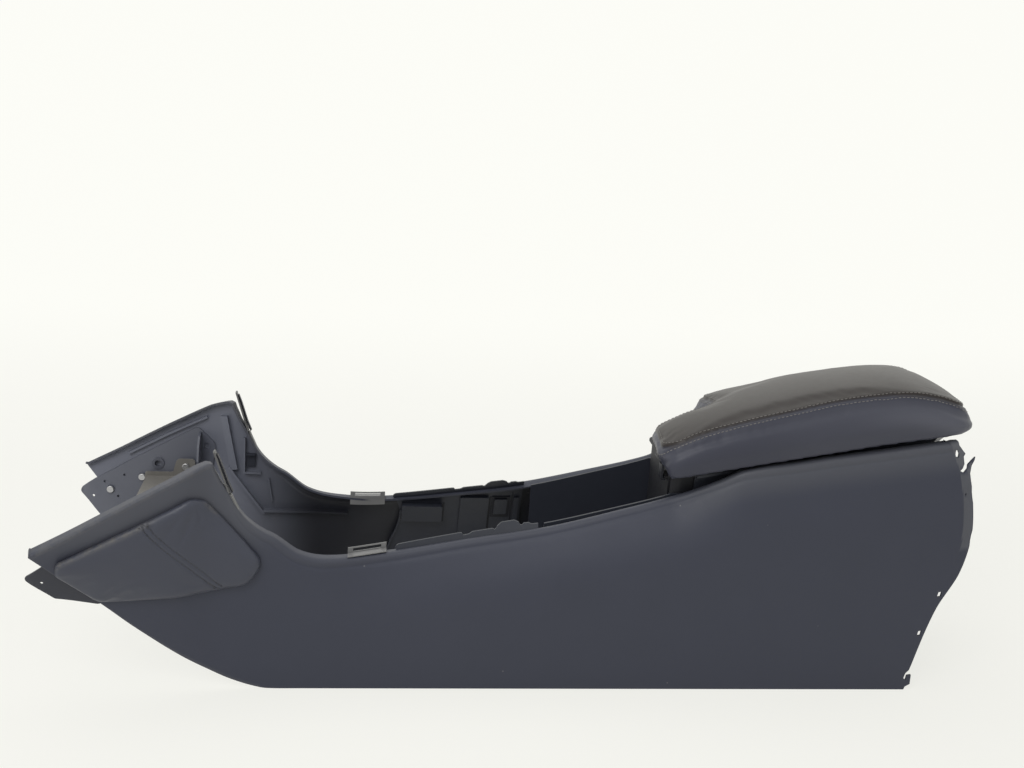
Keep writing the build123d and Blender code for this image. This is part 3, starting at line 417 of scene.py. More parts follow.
class Effects:
    """The surface effects that several finishes share, each built once as a node group."""

    def __init__(self) -> None:
        """Builds every group."""
        self.grain = self._grain()
        self.mottle = self._mottle()
        self.specks = self._specks()

    def _grain(self) -> bpy.types.ShaderNodeTree:
        """Leather or moulded grain: rounded cells with fine noise between them."""
        tree = group_of("cell_grain", {"Cells per metre": 900, "Fineness": 0.35}, ["Height"])
        n = Nodes(tree)
        inp, place = n.add("NodeGroupInput").outputs, n.place()
        cells = n.add("ShaderNodeTexVoronoi", {"Vector": place, "Scale": inp[0]}, feature="SMOOTH_F1")
        finer = n.maths("MULTIPLY", inp[0], 2.7)
        noise = n.add("ShaderNodeTexNoise", {"Vector": place, "Scale": finer, "Detail": 3.0})
        mixed = n.maths("ADD", cells.outputs["Distance"], n.maths("MULTIPLY", noise.outputs["Fac"], inp[1]))
        n.add("NodeGroupOutput", {0: mixed})
        return tree

    def _mottle(self) -> bpy.types.ShaderNodeTree:
        """Slow change of tone over a surface, and a finer one for roughness."""
        tree = group_of("mottle", {"Size": 14.0}, ["Broad", "Fine"])
        n = Nodes(tree)
        inp, place = n.add("NodeGroupInput").outputs, n.place()
        tones = []
        for scale, detail, roughness in ((inp[0], 4.0, 0.55), (n.maths("MULTIPLY", inp[0], 9.0), 5.0, 0.65)):
            noise = {"Vector": place, "Scale": scale, "Detail": detail, "Roughness": roughness}
            tones.append(n.add("ShaderNodeTexNoise", noise).outputs["Fac"])
        n.add("NodeGroupOutput", {0: tones[0], 1: tones[1]})
        return tree

    def _specks(self) -> bpy.types.ShaderNodeTree:
        """Sparse dust: a few pale points where a cell's own random value is high."""
        tree = group_of("dust_specks", {"Per metre": 90.0, "Share": 0.02, "Radius": 0.12}, ["Mask"])
        n = Nodes(tree)
        inp = n.add("NodeGroupInput").outputs
        cells = n.add("ShaderNodeTexVoronoi", {"Vector": n.place(), "Scale": inp[0]}, feature="F1")
        chance = n.add("ShaderNodeSeparateColor", {0: cells.outputs["Color"]}).outputs[0]
        picked = n.maths("LESS_THAN", chance, inp[1])
        close = n.maths("SUBTRACT", 1.0, n.maths("DIVIDE", cells.outputs["Distance"], inp[2]), clamp=True)
        n.add("NodeGroupOutput", {0: n.maths("MULTIPLY", picked, close)})
        return tree


# ---------------------------------------------------------------- finishes


Colour = tuple[float, float, float]


@dataclass(frozen=True)
class Finish:
    """One finish: its colours, gloss, grain, dust, painted highlight and painted shade.

    Attributes:
        name: The material's name.
        colour: One end of the slowly changing tone.
        tone: The other end.
        roughness: Middle of the roughness, which varies by gloss_range each way.
        cells: Grain cells in a metre.
        fineness: Share of fine noise in the grain.
        depth: Height of the grain, in metres.
        mottle: Scale of the slow change of tone.
        dust: Strength of the pale specks.
        edge: Colour where the edge attribute is high, broken up if patchy.
        highlight_and_dust: Colour of painted highlight, on the panel partly dust too, where that attribute is
            high.
        deep: Colour of painted shade that takes over along X, across its span.
    """

    name: str
    colour: Colour
    tone: Colour
    roughness: float = 0.5
    metallic: float = 0.0
    specular: float = 0.5
    sheen: float = 0.0
    cells: float = 2500.0
    fineness: float = 0.35
    depth: float = 0.00003
    mottle: float = 14.0
    dust: float = 0.0
    dust_colour: Colour = (0.45, 0.44, 0.42)
    edge: Colour | None = None
    patchy: bool = True
    gloss_range: float = 0.05
    highlight_and_dust: Colour | None = None
    deep: Colour | None = None
    painted_shade_span: tuple[float, float] = (0.0, 1.0)

    def material(self, effects: Effects) -> bpy.types.Material:
        """Builds the Blender material.

        Args:
            effects: The shared node groups.

        Returns:
            The material.
        """
        material = bpy.data.materials.new(self.name)
        material.use_nodes = True
        tree = material.node_tree
        n = Nodes(tree)
        shader = tree.nodes["Principled BSDF"]
        shader.inputs["Metallic"].default_value = self.metallic
        shader.inputs["Specular IOR Level"].default_value = self.specular
        shader.inputs["Sheen Weight"].default_value = self.sheen
        mottle = n.add("ShaderNodeGroup", node_tree=effects.mottle)
        mottle.inputs["Size"].default_value = self.mottle
        base = self._mix(n, mottle.outputs["Broad"], self.colour, self.tone)
        # Painted shade: the colour darkens along X where deep is set.
        if self.deep is not None:
            along = n.add("ShaderNodeSeparateXYZ", {0: n.place()}).outputs[0]
            base = self._mix(n, n.ramp(along, *self.painted_shade_span), base, self.deep)
        # Painted highlight, with some dust on the panel: paler where the attribute below is high.
        if self.highlight_and_dust is not None:
            highlight_and_dust = n.add("ShaderNodeAttribute", attribute_name="highlight_and_dust").outputs["Fac"]
            base = self._mix(n, highlight_and_dust, base, self.highlight_and_dust)
        if self.edge is not None:
            worn = n.add("ShaderNodeAttribute", attribute_name="edge").outputs["Fac"]
            if self.patchy:
                patches = n.ramp(mottle.outputs["Fine"], 0.35, 0.65)
                most_worn = n.ramp(worn, 0.3, 0.5)
                broken = n.add("ShaderNodeMix", {0: most_worn, 2: 1.0, 3: patches}, data_type="FLOAT")
                worn = n.maths("MULTIPLY", worn, broken.outputs[0])
            base = self._mix(n, worn, base, self.edge)
        if self.dust > 0:
            specks = n.add("ShaderNodeGroup", node_tree=effects.specks)
            mask = n.maths("MULTIPLY", specks.outputs["Mask"], self.dust, clamp=True)
            base = self._mix(n, mask, base, self.dust_colour)
        tree.links.new(base, shader.inputs["Base Color"])
        spread = {"Value": mottle.outputs["Fine"], "From Min": 0.3, "From Max": 0.7,
                  "To Min": self.roughness - self.gloss_range, "To Max": self.roughness + self.gloss_range}
        gloss = n.add("ShaderNodeMapRange", spread)
        tree.links.new(gloss.outputs["Result"], shader.inputs["Roughness"])
        grain = n.add("ShaderNodeGroup", node_tree=effects.grain)
        grain.inputs["Cells per metre"].default_value = self.cells
        grain.inputs["Fineness"].default_value = self.fineness
        relief = {"Height": grain.outputs["Height"], "Distance": self.depth, "Strength": 0.5}
        bump = n.add("ShaderNodeBump", relief)
        tree.links.new(bump.outputs["Normal"], shader.inputs["Normal"])
        return material

    @staticmethod
    def _mix(n: Nodes, factor: object, first: object, second: object) -> bpy.types.NodeSocket:
        """Blends two colours, each a colour or a socket."""
        node = n.add("ShaderNodeMix", data_type="RGBA")
        for socket, value in ((node.inputs[0], factor), (node.inputs[6], first), (node.inputs[7], second)):
            if isinstance(value, bpy.types.NodeSocket):
                n.tree.links.new(value, socket)
            elif isinstance(value, tuple):
                socket.default_value = (*value, 1.0)
            else:
                socket.default_value = value
        return node.outputs[2]


# Its last colour is painted highlight, partly dust, on the wing above the pad, the rear band and the
# shoulder; the edge colour is wear.
PANEL = Finish("panel_grain", (0.048, 0.053, 0.077), (0.054, 0.059, 0.086), roughness=0.45, specular=0.33,
               cells=1500, depth=0.00008, dust=0.35, edge=(0.13, 0.13, 0.14), highlight_and_dust=(0.13, 0.135, 0.155))
# The wing's inside is a paler plastic, made paler still as painted light; deep darkens it towards the flank
# as painted shade in the trough.
WING = Finish("wing_inner", (0.155, 0.165, 0.208), (0.190, 0.200, 0.245), roughness=0.42, specular=0.3,
              dust=0.3, deep=(0.014, 0.015, 0.021), painted_shade_span=(-0.352, -0.235))
# A dark plastic, darkened further as painted shade for the trough and the hollow insides.
INNER = Finish("inner_moulding", (0.014, 0.015, 0.021), (0.018, 0.019, 0.026), roughness=0.45, specular=0.2,
               dust=0.3)
LINER = Finish("liner_moulding", (0.029, 0.032, 0.044), (0.036, 0.040, 0.054), roughness=0.4, specular=0.3,
               dust=0.3)
KNEE = Finish("knee_leather", (0.042, 0.047, 0.071), (0.049, 0.054, 0.080), roughness=0.42, sheen=0.05,
              cells=1000, depth=0.00012, dust=0.25, edge=(0.12, 0.115, 0.11))
# Its last colour is painted highlight on the rear of its near side and at its nose.
LID = Finish("lid_leather", (0.048, 0.051, 0.074), (0.053, 0.056, 0.081), roughness=0.38, specular=0.32,
             cells=900, depth=0.00012, edge=(0.027, 0.0215, 0.0205), patchy=False, gloss_range=0.015,
             highlight_and_dust=(0.15, 0.155, 0.19))
# Lighter than the panel as a painted highlight along the folded strip.
FOLD = Finish("folded_edge", (0.10, 0.10, 0.105), (0.16, 0.16, 0.16), roughness=0.45)
THREAD = Finish("thread", (0.20, 0.19, 0.18), (0.26, 0.25, 0.24), roughness=0.6, cells=4000, depth=0.00004)
DARK_THREAD = Finish("dark_thread", (0.05, 0.05, 0.055), (0.07, 0.07, 0.075), roughness=0.6, cells=4000,
                     depth=0.00004)
CLIP = Finish("clip_plated", (0.20, 0.20, 0.205), (0.26, 0.26, 0.265), roughness=0.42, metallic=0.2,
              cells=3000, depth=0.00001)
BRACE = Finish("brace_primer", (0.16, 0.152, 0.142), (0.22, 0.21, 0.195), metallic=0.2, depth=0.00002)
STEEL = Finish("dull_steel", (0.30, 0.30, 0.31), (0.40, 0.40, 0.41), roughness=0.4, metallic=0.85,
               cells=3000, depth=0.00001)
# The right front bracket, painted lighter as lit; the left one is the same moulding, painted darker as
# shaded.
PAINTED_LIT_BRACKET = Finish("bracket_painted_lit", (0.095, 0.102, 0.132), (0.125, 0.132, 0.165), roughness=0.38, dust=0.5)
SCREW = Finish("screw_steel", (0.4, 0.4, 0.41), (0.5, 0.5, 0.51), roughness=0.3, metallic=0.9, cells=3000,
               depth=0.00001)
# A dark plastic, darkened further as painted shade under the lid.
PAINTED_SHADE_MOULDING = Finish("bin_moulding_painted_shade", (0.011, 0.0115, 0.015), (0.014, 0.0145, 0.019), roughness=0.55, specular=0.3)
# The left front bracket, painted darker as shaded.
PAINTED_SHADE_BRACKET = Finish("tongue_painted_shade", (0.037, 0.039, 0.052), (0.043, 0.046, 0.061), roughness=0.42,
                specular=0.35, dust=0.4)
RUBBER = Finish("rubber", (0.02, 0.02, 0.02), (0.03, 0.03, 0.03), roughness=0.75, cells=2000)

FINISH_OF = {
    "panel_plastic": PANEL, "pad_leather": KNEE, "armrest_leather": LID, "inner_plastic": INNER,
    "clip_steel": CLIP, "brace_metal": BRACE, "bracket_steel": STEEL, "screw_steel": SCREW, "rubber": RUBBER,
}
NODE_FINISH = {
    # The two front brackets differ only by painted light: the right lit, the left shaded.
    "left_front_bracket": PAINTED_SHADE_BRACKET, "right_front_bracket": PAINTED_LIT_BRACKET, "storage_bin": PAINTED_SHADE_MOULDING, "latch_striker": PAINTED_SHADE_MOULDING,
    "inner_carrier": LINER, "left_wing_clip": LINER, "right_wing_clip": LINER,
}


class Wardrobe:
    """Builds each finish once and hands it out."""

    def __init__(self) -> None:
        """Starts with the shared effects and no materials."""
        self.effects = Effects()
        self.made: dict[str, bpy.types.Material] = {}

    def get(self, finish: Finish) -> bpy.types.Material:
        """The material of one finish."""
        if finish.name not in self.made:
            self.made[finish.name] = finish.material(self.effects)
        return self.made[finish.name]


# ---------------------------------------------------------------- side panels


@dataclass
class SidePanel:
    """The flared wing and long flank, one moulding, with a rolled rim.

    Attributes:
        wardrobe: Hands out the materials.
        low: Half width at the foot, along the panel.
        flare: Half width of the wing at flare_height.
        edge: Height of the wing's top edge.
        hook: Height of the wing's rear edge and of the rim behind it.
        rim_half: Half width at the rim.
        foot: Height of the lower edge.
        rear: Place of the rear edge by height.
        roll: Radius of the rolled rim.
        lip: Width of the flat lip behind the roll.
        wing_end: Where the top edge turns down.
        flank_start: Where the wing's influence ends at the rim.
    """

    wardrobe: Wardrobe
    low: Line = Line(((-4, 85), (60, 98), (120, 106), (165, 110), (198, 111.5), (262, 112), (700, 110.5),
                      (1092, 109)))
    flare: Line = Line(((-4, 198.6), (60, 170.5), (120, 153.5), (165, 141.6), (198, 122.4), (262, 113.6),
                        (300, 112)))
    edge: Line = Line(((6, 176), (49, 200), (89, 223.5), (138, 251), (164, 264.5), (188, 275), (195, 277)))
    hook: Line = Line(((195, 277), (199, 270), (204, 259), (212, 244), (219, 230), (228, 215), (238, 203.5),
                       (250, 194), (262, 187), (290, 167), (325, 160), (390, 164.5), (480, 179.5), (570, 195),
                       (660, 218), (719, 235), (745, 246), (772, 260), (800, 275), (864, 287), (952, 304),
                       (1052, 323), (1107, 332)))
    rim_half: Line = Line(((262, 113), (290, 112), (325, 108), (375, 97), (440, 89), (520, 83), (610, 80),
                           (719, 75), (745, 79), (772, 88), (800, 97), (840, 101), (1052, 103)))
    foot: Line = Line(((6.5, 175), (14, 167), (33, 147), (72, 114), (110, 80), (158, 44), (200, 19.5),
                       (225, 8.5), (250, 1.2), (264, 0), (300, 0)))
    rear: Line = Line(((0, 1030), (34, 1035), (108, 1054), (156, 1076), (203, 1084), (246, 1079), (284, 1069),
                       (323, 1052)))
    roll: float = 6.0
    lip: float = 8.0
    rear_start: float = 900.0
    rear_top: float = 1052.0
    spare: float = 15.0
    wing_end: float = 195.0
    flank_start: float = 262.0
    flare_height: float = 300.0
    crease_height: float = 73.0
    crease_rise: float = 0.242
    crease_softness: float = 16.0

    def half(self, x: np.ndarray, z: np.ndarray) -> np.ndarray:
        """Half width of the outer skin.

        Args:
            x: Places along the car.
            z: Heights.

        Returns:
            The half width at each place.
        """
        low = self.low.at(x)
        wing = low + (self.flare.at(x) - low) * z / self.flare_height
        crease_z = self.crease_height + self.crease_rise * (np.asarray(x, float) - self.flank_start)
        crease = low + 1.5
        top = np.maximum(self.hook.at(np.maximum(x, self.flank_start)), crease_z + 20)
        first = (crease - low) / np.maximum(crease_z, 40)
        second = (self.rim_half.at(x) - crease) / (top - crease_z)
        bend = self.crease_softness * np.logaddexp(0, (z - crease_z) / self.crease_softness)
        flank = low + first * z + (second - first) * bend
        return wing + (flank - wing) * smooth(x, 225, 330)

    def skin(self, x: np.ndarray, z: np.ndarray, depth: np.ndarray | float = 0.0) -> np.ndarray:
        """Points on the left skin, or inside it by a depth, in millimetres."""
        x, z = np.asarray(x, float), np.asarray(z, float)
        return np.stack([x, -(self.half(x, z) - depth), z], -1)

    def stations(self) -> np.ndarray:
        """Where the columns of the skin's grid stand along the top edge."""
        runs = ((7, 185, 60), (185, self.wing_end, 6), (self.wing_end, self.flank_start, 34),
                (self.flank_start, 420, 50), (420, 715, 60), (715, 840, 40), (840, 1010, 40))
        parts = [np.linspace(start, end, count, endpoint=False) for start, end, count in runs]
        return np.concatenate([*parts, np.linspace(1010, self.rear_top, 34)])

    def top_height(self, x: np.ndarray) -> np.ndarray:
        """Height of the panel's top edge, wing and rim together."""
        return np.where(x < self.wing_end, self.edge.at(x), self.hook.at(x))

    def grid(self) -> tuple[np.ndarray, np.ndarray, np.ndarray]:
        """The skin's grid from the foot to the inner end of the rolled rim.

        Returns:
            Points (rows, columns, 3) in millimetres, and for each how worn it is and how strong its painted
            highlight with dust is, 0 to 1.
        """
        xs = self.stations()
        top = self.top_height(xs)
        slope = np.gradient(top, xs)
        roll = self.roll * (0.55 + 0.45 * smooth(xs, 185, 300))
        drop = roll * np.minimum(np.sqrt(1 + slope**2), 2.4)
        foot = self.foot.at(xs)
        start = top - np.minimum(drop, (top - foot) * 0.5)
        near = np.array([0, 1, 2, 3, 4.2, 5.5, 7, 9, 12, 16, 21, 27])  # rows that stand close below the rim
        room = np.minimum(1.0, (start - foot) / 70.0)
        rows = [foot + (start - near[-1] * room - foot) * t for t in np.linspace(0, 1, 42, endpoint=False)]
        z = np.array(rows + [start - d * room for d in near[::-1]])
        x = self.swept(np.broadcast_to(xs, z.shape), z)
        gap = start - z
        groove = 0.9 * np.exp(-(((gap - 4.5) / 2.2) ** 2)) * smooth(xs, 200, 290)
        band = 1.2 * (1 - smooth(self.rear.at(z) - x, 10.5, 13.5)) * smooth(z, 150, 230)
        skin = self.skin(x, z, groove + band + self.pockets(x, z))
        wing = 1 - smooth(xs, 190, 205)
        edge = np.clip(1 - gap / 3.0, 0, 1) * (0.12 + 0.5 * wing)
        edge += 0.5 * np.clip(1 - (z - foot) / 2.5, 0, 1) * (xs < 250)
        # Painted highlight, partly dust: paler on the wing above the pad, on the rear band and under the rim
        # at the shoulder.
        tint = 0.47 * (1 - smooth(x, 215, 290)) * smooth(z, 150, 205)
        shoulder = smooth(gap, 36, 6) * smooth(xs, 715, 790)
        tint = np.maximum(tint, 0.72 * (band > 0.6) + 0.45 * shoulder)
        rolled = self.rolled(skin, xs, roll)
        marks = [0.12 + 0.5 * wing] * 8 + [0.1 + 0.4 * wing] * 3
        tints = [tint] + [tint[-1:]] * len(rolled)
        return np.concatenate([skin, np.array(rolled)]), np.concatenate([edge, marks]), np.concatenate(tints)

    def rolled(self, skin: np.ndarray, xs: np.ndarray, roll: np.ndarray) -> list[np.ndarray]:
        """The rows over the top of the skin: a quarter turn inwards, then the flat lip.

        Args:
            skin: The skin's points.
            xs: Where its columns stand.
            roll: Radius of the turn at each column.

        Returns:
            Eight rows for the turn and three for the lip.
        """
        last, before = skin[-1], skin[-3]
        along = np.gradient(last, axis=0)
        along /= np.linalg.norm(along, axis=1, keepdims=True)
        up = last - before
        up -= along * (up * along).sum(1, keepdims=True)
        up /= np.linalg.norm(up, axis=1, keepdims=True)
        inward = np.cross(up, along)
        inward *= np.sign(inward[:, 1:2])
        turn = [last + roll[:, None] * (math.sin(a) * up + (1 - math.cos(a)) * inward)
                for a in np.radians(np.arange(11.25, 91, 11.25))]
        reach = self.lip * (1 - 0.75 * smooth(xs, 1020, 1050))
        return turn + [turn[-1] + (reach * share)[:, None] * inward for share in (0.3, 0.65, 1.0)]

    def pockets(self, x: np.ndarray, z: np.ndarray) -> np.ndarray:
        """Depth of the two shallow pockets pressed into the rear edge."""
        deep = np.zeros_like(z)
        for start, low, high in ((1069.0, 248.0, 263.0), (1076.5, 193.5, 209.5)):
            tall = smooth(z, low - 1, low + 1) * smooth(z, high + 1, high - 1)
            deep += 1.6 * smooth(x, start - 0.6, start + 0.6) * tall
        return deep

    def swept(self, x: np.ndarray, z: np.ndarray) -> np.ndarray:
        """Stretches the rear columns so that the last one lies a little behind the rear edge."""
        past = np.clip((x - self.rear_start) / (self.rear_top - self.rear_start), 0, None)
        reach = self.rear.at(z) + self.spare - self.rear_start
        return np.where(x > self.rear_start, self.rear_start + past * reach, x)

    def rear_cuts(self, material: bpy.types.Material) -> list[bpy.types.Object]:
        """What is cut away at the rear: all behind the hooked edge, the slots and the keyhole."""
        foot = [(1030, -6), (1030, 0), (1031, 3.8), (1037, 7.5), (1036.6, 20), (1031.6, 19), (1030.7, 12.7),
                (1027.6, 15.4), (1029.2, 22.3), (1033, 26.4), (1035, 34)]
        sweep = [(float(self.rear.at(z)), z) for z in range(40, 280, 6)]
        head = [(1070, 283), (1070.7, 292.4), (1073.4, 298.7), (1074, 302.6), (1069.9, 298), (1066, 293),
                (1065.9, 288), (1062.4, 283.1), (1057.4, 285.2), (1060.2, 288.4), (1061.7, 294),
                (1059.8, 302.8), (1061.5, 306.4), (1053, 316), (1051.5, 334), (1051.5, 345), (1130, 345),
                (1130, -6)]
        slots = [
            [(1053, 124.5), (1057.6, 125.6), (1058.4, 132.4), (1054, 131.2)],
            [(1035.8, 72.6), (1040.2, 73.8), (1041, 80.4), (1036.6, 79.2)],
            [(1049.4, 305), (1050.2, 301.6), (1053.4, 301.4), (1054, 305.5), (1052.4, 309.6),
             (1050.2, 309.8)],
            [(1067.4, 256), (1069, 256), (1069, 258), (1067.4, 258)],
        ]
        shapes = [(foot + sweep + head, 60, 140)] + [(slot, 85, 125) for slot in slots]
        return [prism(f"cut_{i}", np.array(shape, float), near, far, material)
                for i, (shape, near, far) in enumerate(shapes)]

    def strip(self, points: Sequence[tuple[float, float]], width: float, depth: tuple[float, float],
              material: bpy.types.Material) -> bpy.types.Object:
        """A rib along a side-view line, standing on the inside of the skin.

        Args:
            points: The line's points, from one end to the other.
            width: The rib's thickness in the side view.
            depth: Where it starts and ends, inwards from the outer skin.
            material: What it is made of.

        Returns:
            The rib.
        """
        line = np.array(points, float)
        fine = [line[0]]
        for a, b in zip(line[:-1], line[1:]):
            parts = max(1, int(np.linalg.norm(b - a) / 8))
            fine += [a + (b - a) * (k + 1) / parts for k in range(parts)]
        line = np.array(fine)
        along = np.gradient(line, axis=0)
        normal = np.stack([-along[:, 1], along[:, 0]], 1) / np.linalg.norm(along, axis=1, keepdims=True)
        corners = []
        for sign, deep in ((1, depth[0]), (1, depth[1]), (-1, depth[1]), (-1, depth[0])):
            place = line + normal * sign * width / 2
            corners.append(self.skin(place[:, 0], place[:, 1], deep))
        ring = np.stack(corners, 1)
        count = len(line)
        faces = [[4 * i + k, 4 * i + (k + 1) % 4, 4 * i + 4 + (k + 1) % 4, 4 * i + 4 + k]
                 for i in range(count - 1) for k in range(4)]
        faces += [[3, 2, 1, 0], [4 * count - 4 + k for k in range(4)]]
        piece = new_mesh("rib", metres(ring.reshape(-1, 3)), faces, material)
        outwards(piece)
        return piece

    def ribs(self, pale: bpy.types.Material, dark: bpy.types.Material) -> list[bpy.types.Object]:
        """Every strip inside the panel: pale ribs in the wing, dark posts and foot shelves in the flank."""
        rooted = SHEET - 0.4  # each strip starts a little inside the wall
        pale_ribs = (
            ([(189, 190), (235, 130)], 3.0, 8.0),
            ([(239.5, 176), (244.5, 145)], 2.5, 3.0),
            ([(234, 133.5), (342, 134.5)], 2.6, 8.0),
            ([(60, 196), (110, 224), (160, 250)], 2.6, 5.0),
            ([(209, 230), (209, 184), (230, 184)], 2.2, 7.0),
            ([(182, 255), (196, 187)], 9.0, 7.0),
        )
        posts = [([(x, 4), (x, float(self.hook.at(x)) - 24)], 2.5, (rooted, SHEET + 8)) for x in (641, 1013)]
        shelves = [([(x - 18, 1.5), (x + 18, 1.5)], 3.0, (rooted, 25)) for x in (307, 620, 805, 990)]
        made = [self.strip(points, width, (rooted, SHEET + tall), pale) for points, width, tall in pale_ribs]
        return made + [self.strip(points, width, depth, dark) for points, width, depth in posts + shelves]

    def fold(self, material: bpy.types.Material) -> bpy.types.Object:
        """The folded strip behind the wing's rear edge, painted pale as a highlight, in two lengths with a
        notch between them.
        """
        upper = [(197.8, 289.5), (201.5, 278), (205.5, 265.5), (209.5, 253), (213.5, 240.5)]
        lower = [(214.8, 239), (217.2, 233), (219.8, 227.5), (224, 218), (229.5, 209.5), (236, 202),
                 (244, 195.5)]
        dark = [(200.6, 286), (204.2, 277), (208, 265.5), (212, 253), (217, 241)]
        return join("fold", [self.strip(upper, 1.9, (2.0, 11.0), material),
                             self.strip(lower, 1.9, (2.0, 10.0), material),
                             self.strip(dark, 1.8, (3.0, 9.0), self.wardrobe.get(INNER))])

    def plate(self, name: str, outline: Sequence[tuple[float, float]], near: float, far: float,
              material: bpy.types.Material) -> bpy.types.Object:
        """A thin plate inside the skin that follows its curve.

        Args:
            name: The mesh's name.
            outline: Its corners in the side view, in order.
            near: Depth of its outer face from the outer skin.
            far: Depth of its inner face.
            material: What it is made of.

        Returns:
            The plate.
        """
        corners = np.array(outline, float)
        line = resample(np.concatenate([corners, corners[:1]]), 3.0)[:-1]

        def lift(flat: np.ndarray, deep: float) -> np.ndarray:
            """Points inside the skin at one depth."""
            return self.skin(flat[:, 0], flat[:, 1], deep)

        sheet = Cushion(line, [(0.0, near), (0.0, far)], lift, 9.0)
        made = sheet.build(name, material)
        sharpen(made, 30)
        return made

    def liner(self) -> bpy.types.Object:
        """The left inner wall moulding with its ledges, octagonal tab, boxes and strip."""
        plain, dark = self.wardrobe.get(LINER), self.wardrobe.get(INNER)
        profile = ((399, 0.5), (401, 4), (476, 4), (478, 1), (486, 1), (487, 3), (513, 3), (515.5, 1),
                   (518.5, 5.5), (523, 8), (538, 8), (543, 5.5), (546, 1), (549, 3.5), (556, 3), (558, 1),
                   (566, 1))
        top = [(x, float(self.hook.at(x)) + rise) for x, rise in profile]
        front = [(392, 62), (394, 86), (398, 101), (404, 115), (408, 130)]
        edge = front + [(409, 146), (411, 146), (410, 130), (406, 114), (400, 100), (396, 86), (394, 62)]
        parts = [self.plate("wall", top + [(566, 62)] + front + [(409, 145), (405, 158)], 8.3, 10.8, plain),
                 self.plate("edge", edge, 10.6, 13.5, plain)]
        boxes = (((411, 463), (132, 156), 22.0, plain), ((486, 523), (104, 168), 14.5, plain),
                 ((527, 551), (136, 169), 12.2, dark), ((530.5, 547.5), (141, 165), 14.5, plain),
                 ((556, 563), (100, 168), 14.0, plain), ((463.5, 466), (128, 158), 11.6, dark),
                 ((524, 526), (104, 170), 11.4, dark), ((552.5, 554.5), (100, 176), 11.4, dark))
        for (x0, x1), (z0, z1), far, material in boxes:
            parts.append(self.plate("box", [(x0, z0), (x1, z0), (x1, z1), (x0, z1)], 10.6, far, material))
        return join("left_inner_wall", parts)

    def build(self) -> bpy.types.Object:
        """Builds the left panel.

        Returns:
            The finished piece, with its slots cut and its ribs joined on.
        """
        material, pale = self.wardrobe.get(PANEL), self.wardrobe.get(WING)
        points, edge, tint = self.grid()
        rows, columns, _ = points.shape
        faces = [[r * columns + c, r * columns + c + 1, (r + 1) * columns + c + 1, (r + 1) * columns + c]
                 for r in range(rows - 1) for c in range(columns - 1)]
        panel = new_mesh("panel", metres(points.reshape(-1, 3)), faces, material)
        mark(panel.data, "edge", edge)
        # The second mark is painted highlight, partly dust.
        mark(panel.data, "highlight_and_dust", tint)
        wall = panel.modifiers.new("wall", "SOLIDIFY")
        wall.thickness, wall.offset, wall.use_rim = SHEET * MM, -1, True
        wall.use_even_offset, wall.material_offset = False, 1
        panel.data.materials.append(pale)
        bake(panel)
        cut(panel, self.rear_cuts(material))
        sharpen(panel, 40)
        extras = self.ribs(pale, self.wardrobe.get(INNER)) + [self.fold(self.wardrobe.get(FOLD))]
        for extra in extras:
            sharpen(extra, 30)
        return join("left_panel", [panel, *extras])


# ---------------------------------------------------------------- cushions


@dataclass
class Cushion:
    """A closed padded form over an outline, made of rings and a filled crown."""

    outline: np.ndarray
    rings: list[tuple[np.ndarray | float, float]]
    lift: Callable[[np.ndarray, float], np.ndarray]
    spacing: float = 8.0

    def build(self, name: str, material: bpy.types.Material) -> bpy.types.Object:
        """Builds the plain closed form.

        Args:
            name: The mesh's name.
            material: What it is made of.

        Returns:
            The new object.
        """
        count = len(self.outline)
        flats = [inset(self.outline, amount) for amount, _ in self.rings]
        points = [self.lift(flat, level) for flat, (_, level) in zip(flats, self.rings)]
        faces: list[list[int]] = []
        for r in range(len(flats) - 1):
            for i in range(count):
                j = (i + 1) % count
                faces.append([r * count + i, r * count + j, (r + 1) * count + j, (r + 1) * count + i])
        total = len(flats) * count
        for ring, flip in ((0, True), (len(flats) - 1, False)):
            fill, triangles = self._fill(flats[ring])
            points.append(self.lift(fill, self.rings[ring][1]))
            numbers = list(range(ring * count, ring * count + count)) + list(range(total, total + len(fill)))
            for triangle in triangles:
                face = [numbers[v] for v in triangle]
                faces.append(face[::-1] if flip else face)
            total += len(fill)
        piece = new_mesh(name, metres(np.concatenate(points)), faces, material)
        outwards(piece)
        return piece

    def _fill(self, ring: np.ndarray) -> tuple[np.ndarray, list[list[int]]]:
        """Points inside a ring and triangles over ring and points together."""
        low, high = ring.min(0), ring.max(0)
        along, across = (np.arange(low[k], high[k], self.spacing) for k in range(2))
        grid = np.stack(np.meshgrid(along, across), -1).reshape(-1, 2)
        inside = np.zeros(len(grid), bool)
        for a, b in zip(ring, np.roll(ring, -1, 0)):
            crosses = (a[1] > grid[:, 1]) != (b[1] > grid[:, 1])
            with np.errstate(divide="ignore", invalid="ignore"):
                at = (b[0] - a[0]) * (grid[:, 1] - a[1]) / (b[1] - a[1]) + a[0]
            inside ^= crosses & (grid[:, 0] < at)
        gap = np.min(np.linalg.norm(grid[:, None] - ring[None], axis=2), axis=1)
        grid = grid[inside & (gap > self.spacing * 0.5)]
        verts = [Vector(p) for p in ring] + [Vector(p) for p in grid]
        edges = [(i, (i + 1) % len(ring)) for i in range(len(ring))]
        made = delaunay_2d_cdt(verts, edges, [list(range(len(ring)))], 1, 1e-5)
        extra = [tuple(point) for point, source in zip(made[0], made[3]) if not source]
        fresh = iter(range(len(verts), len(verts) + len(extra)))
        origin = [source[0] if source else next(fresh) for source in made[3]]
        grid = np.concatenate([grid, np.array(extra, float).reshape(-1, 2)])
        return grid, [[origin[v] for v in face] for face in made[2]]


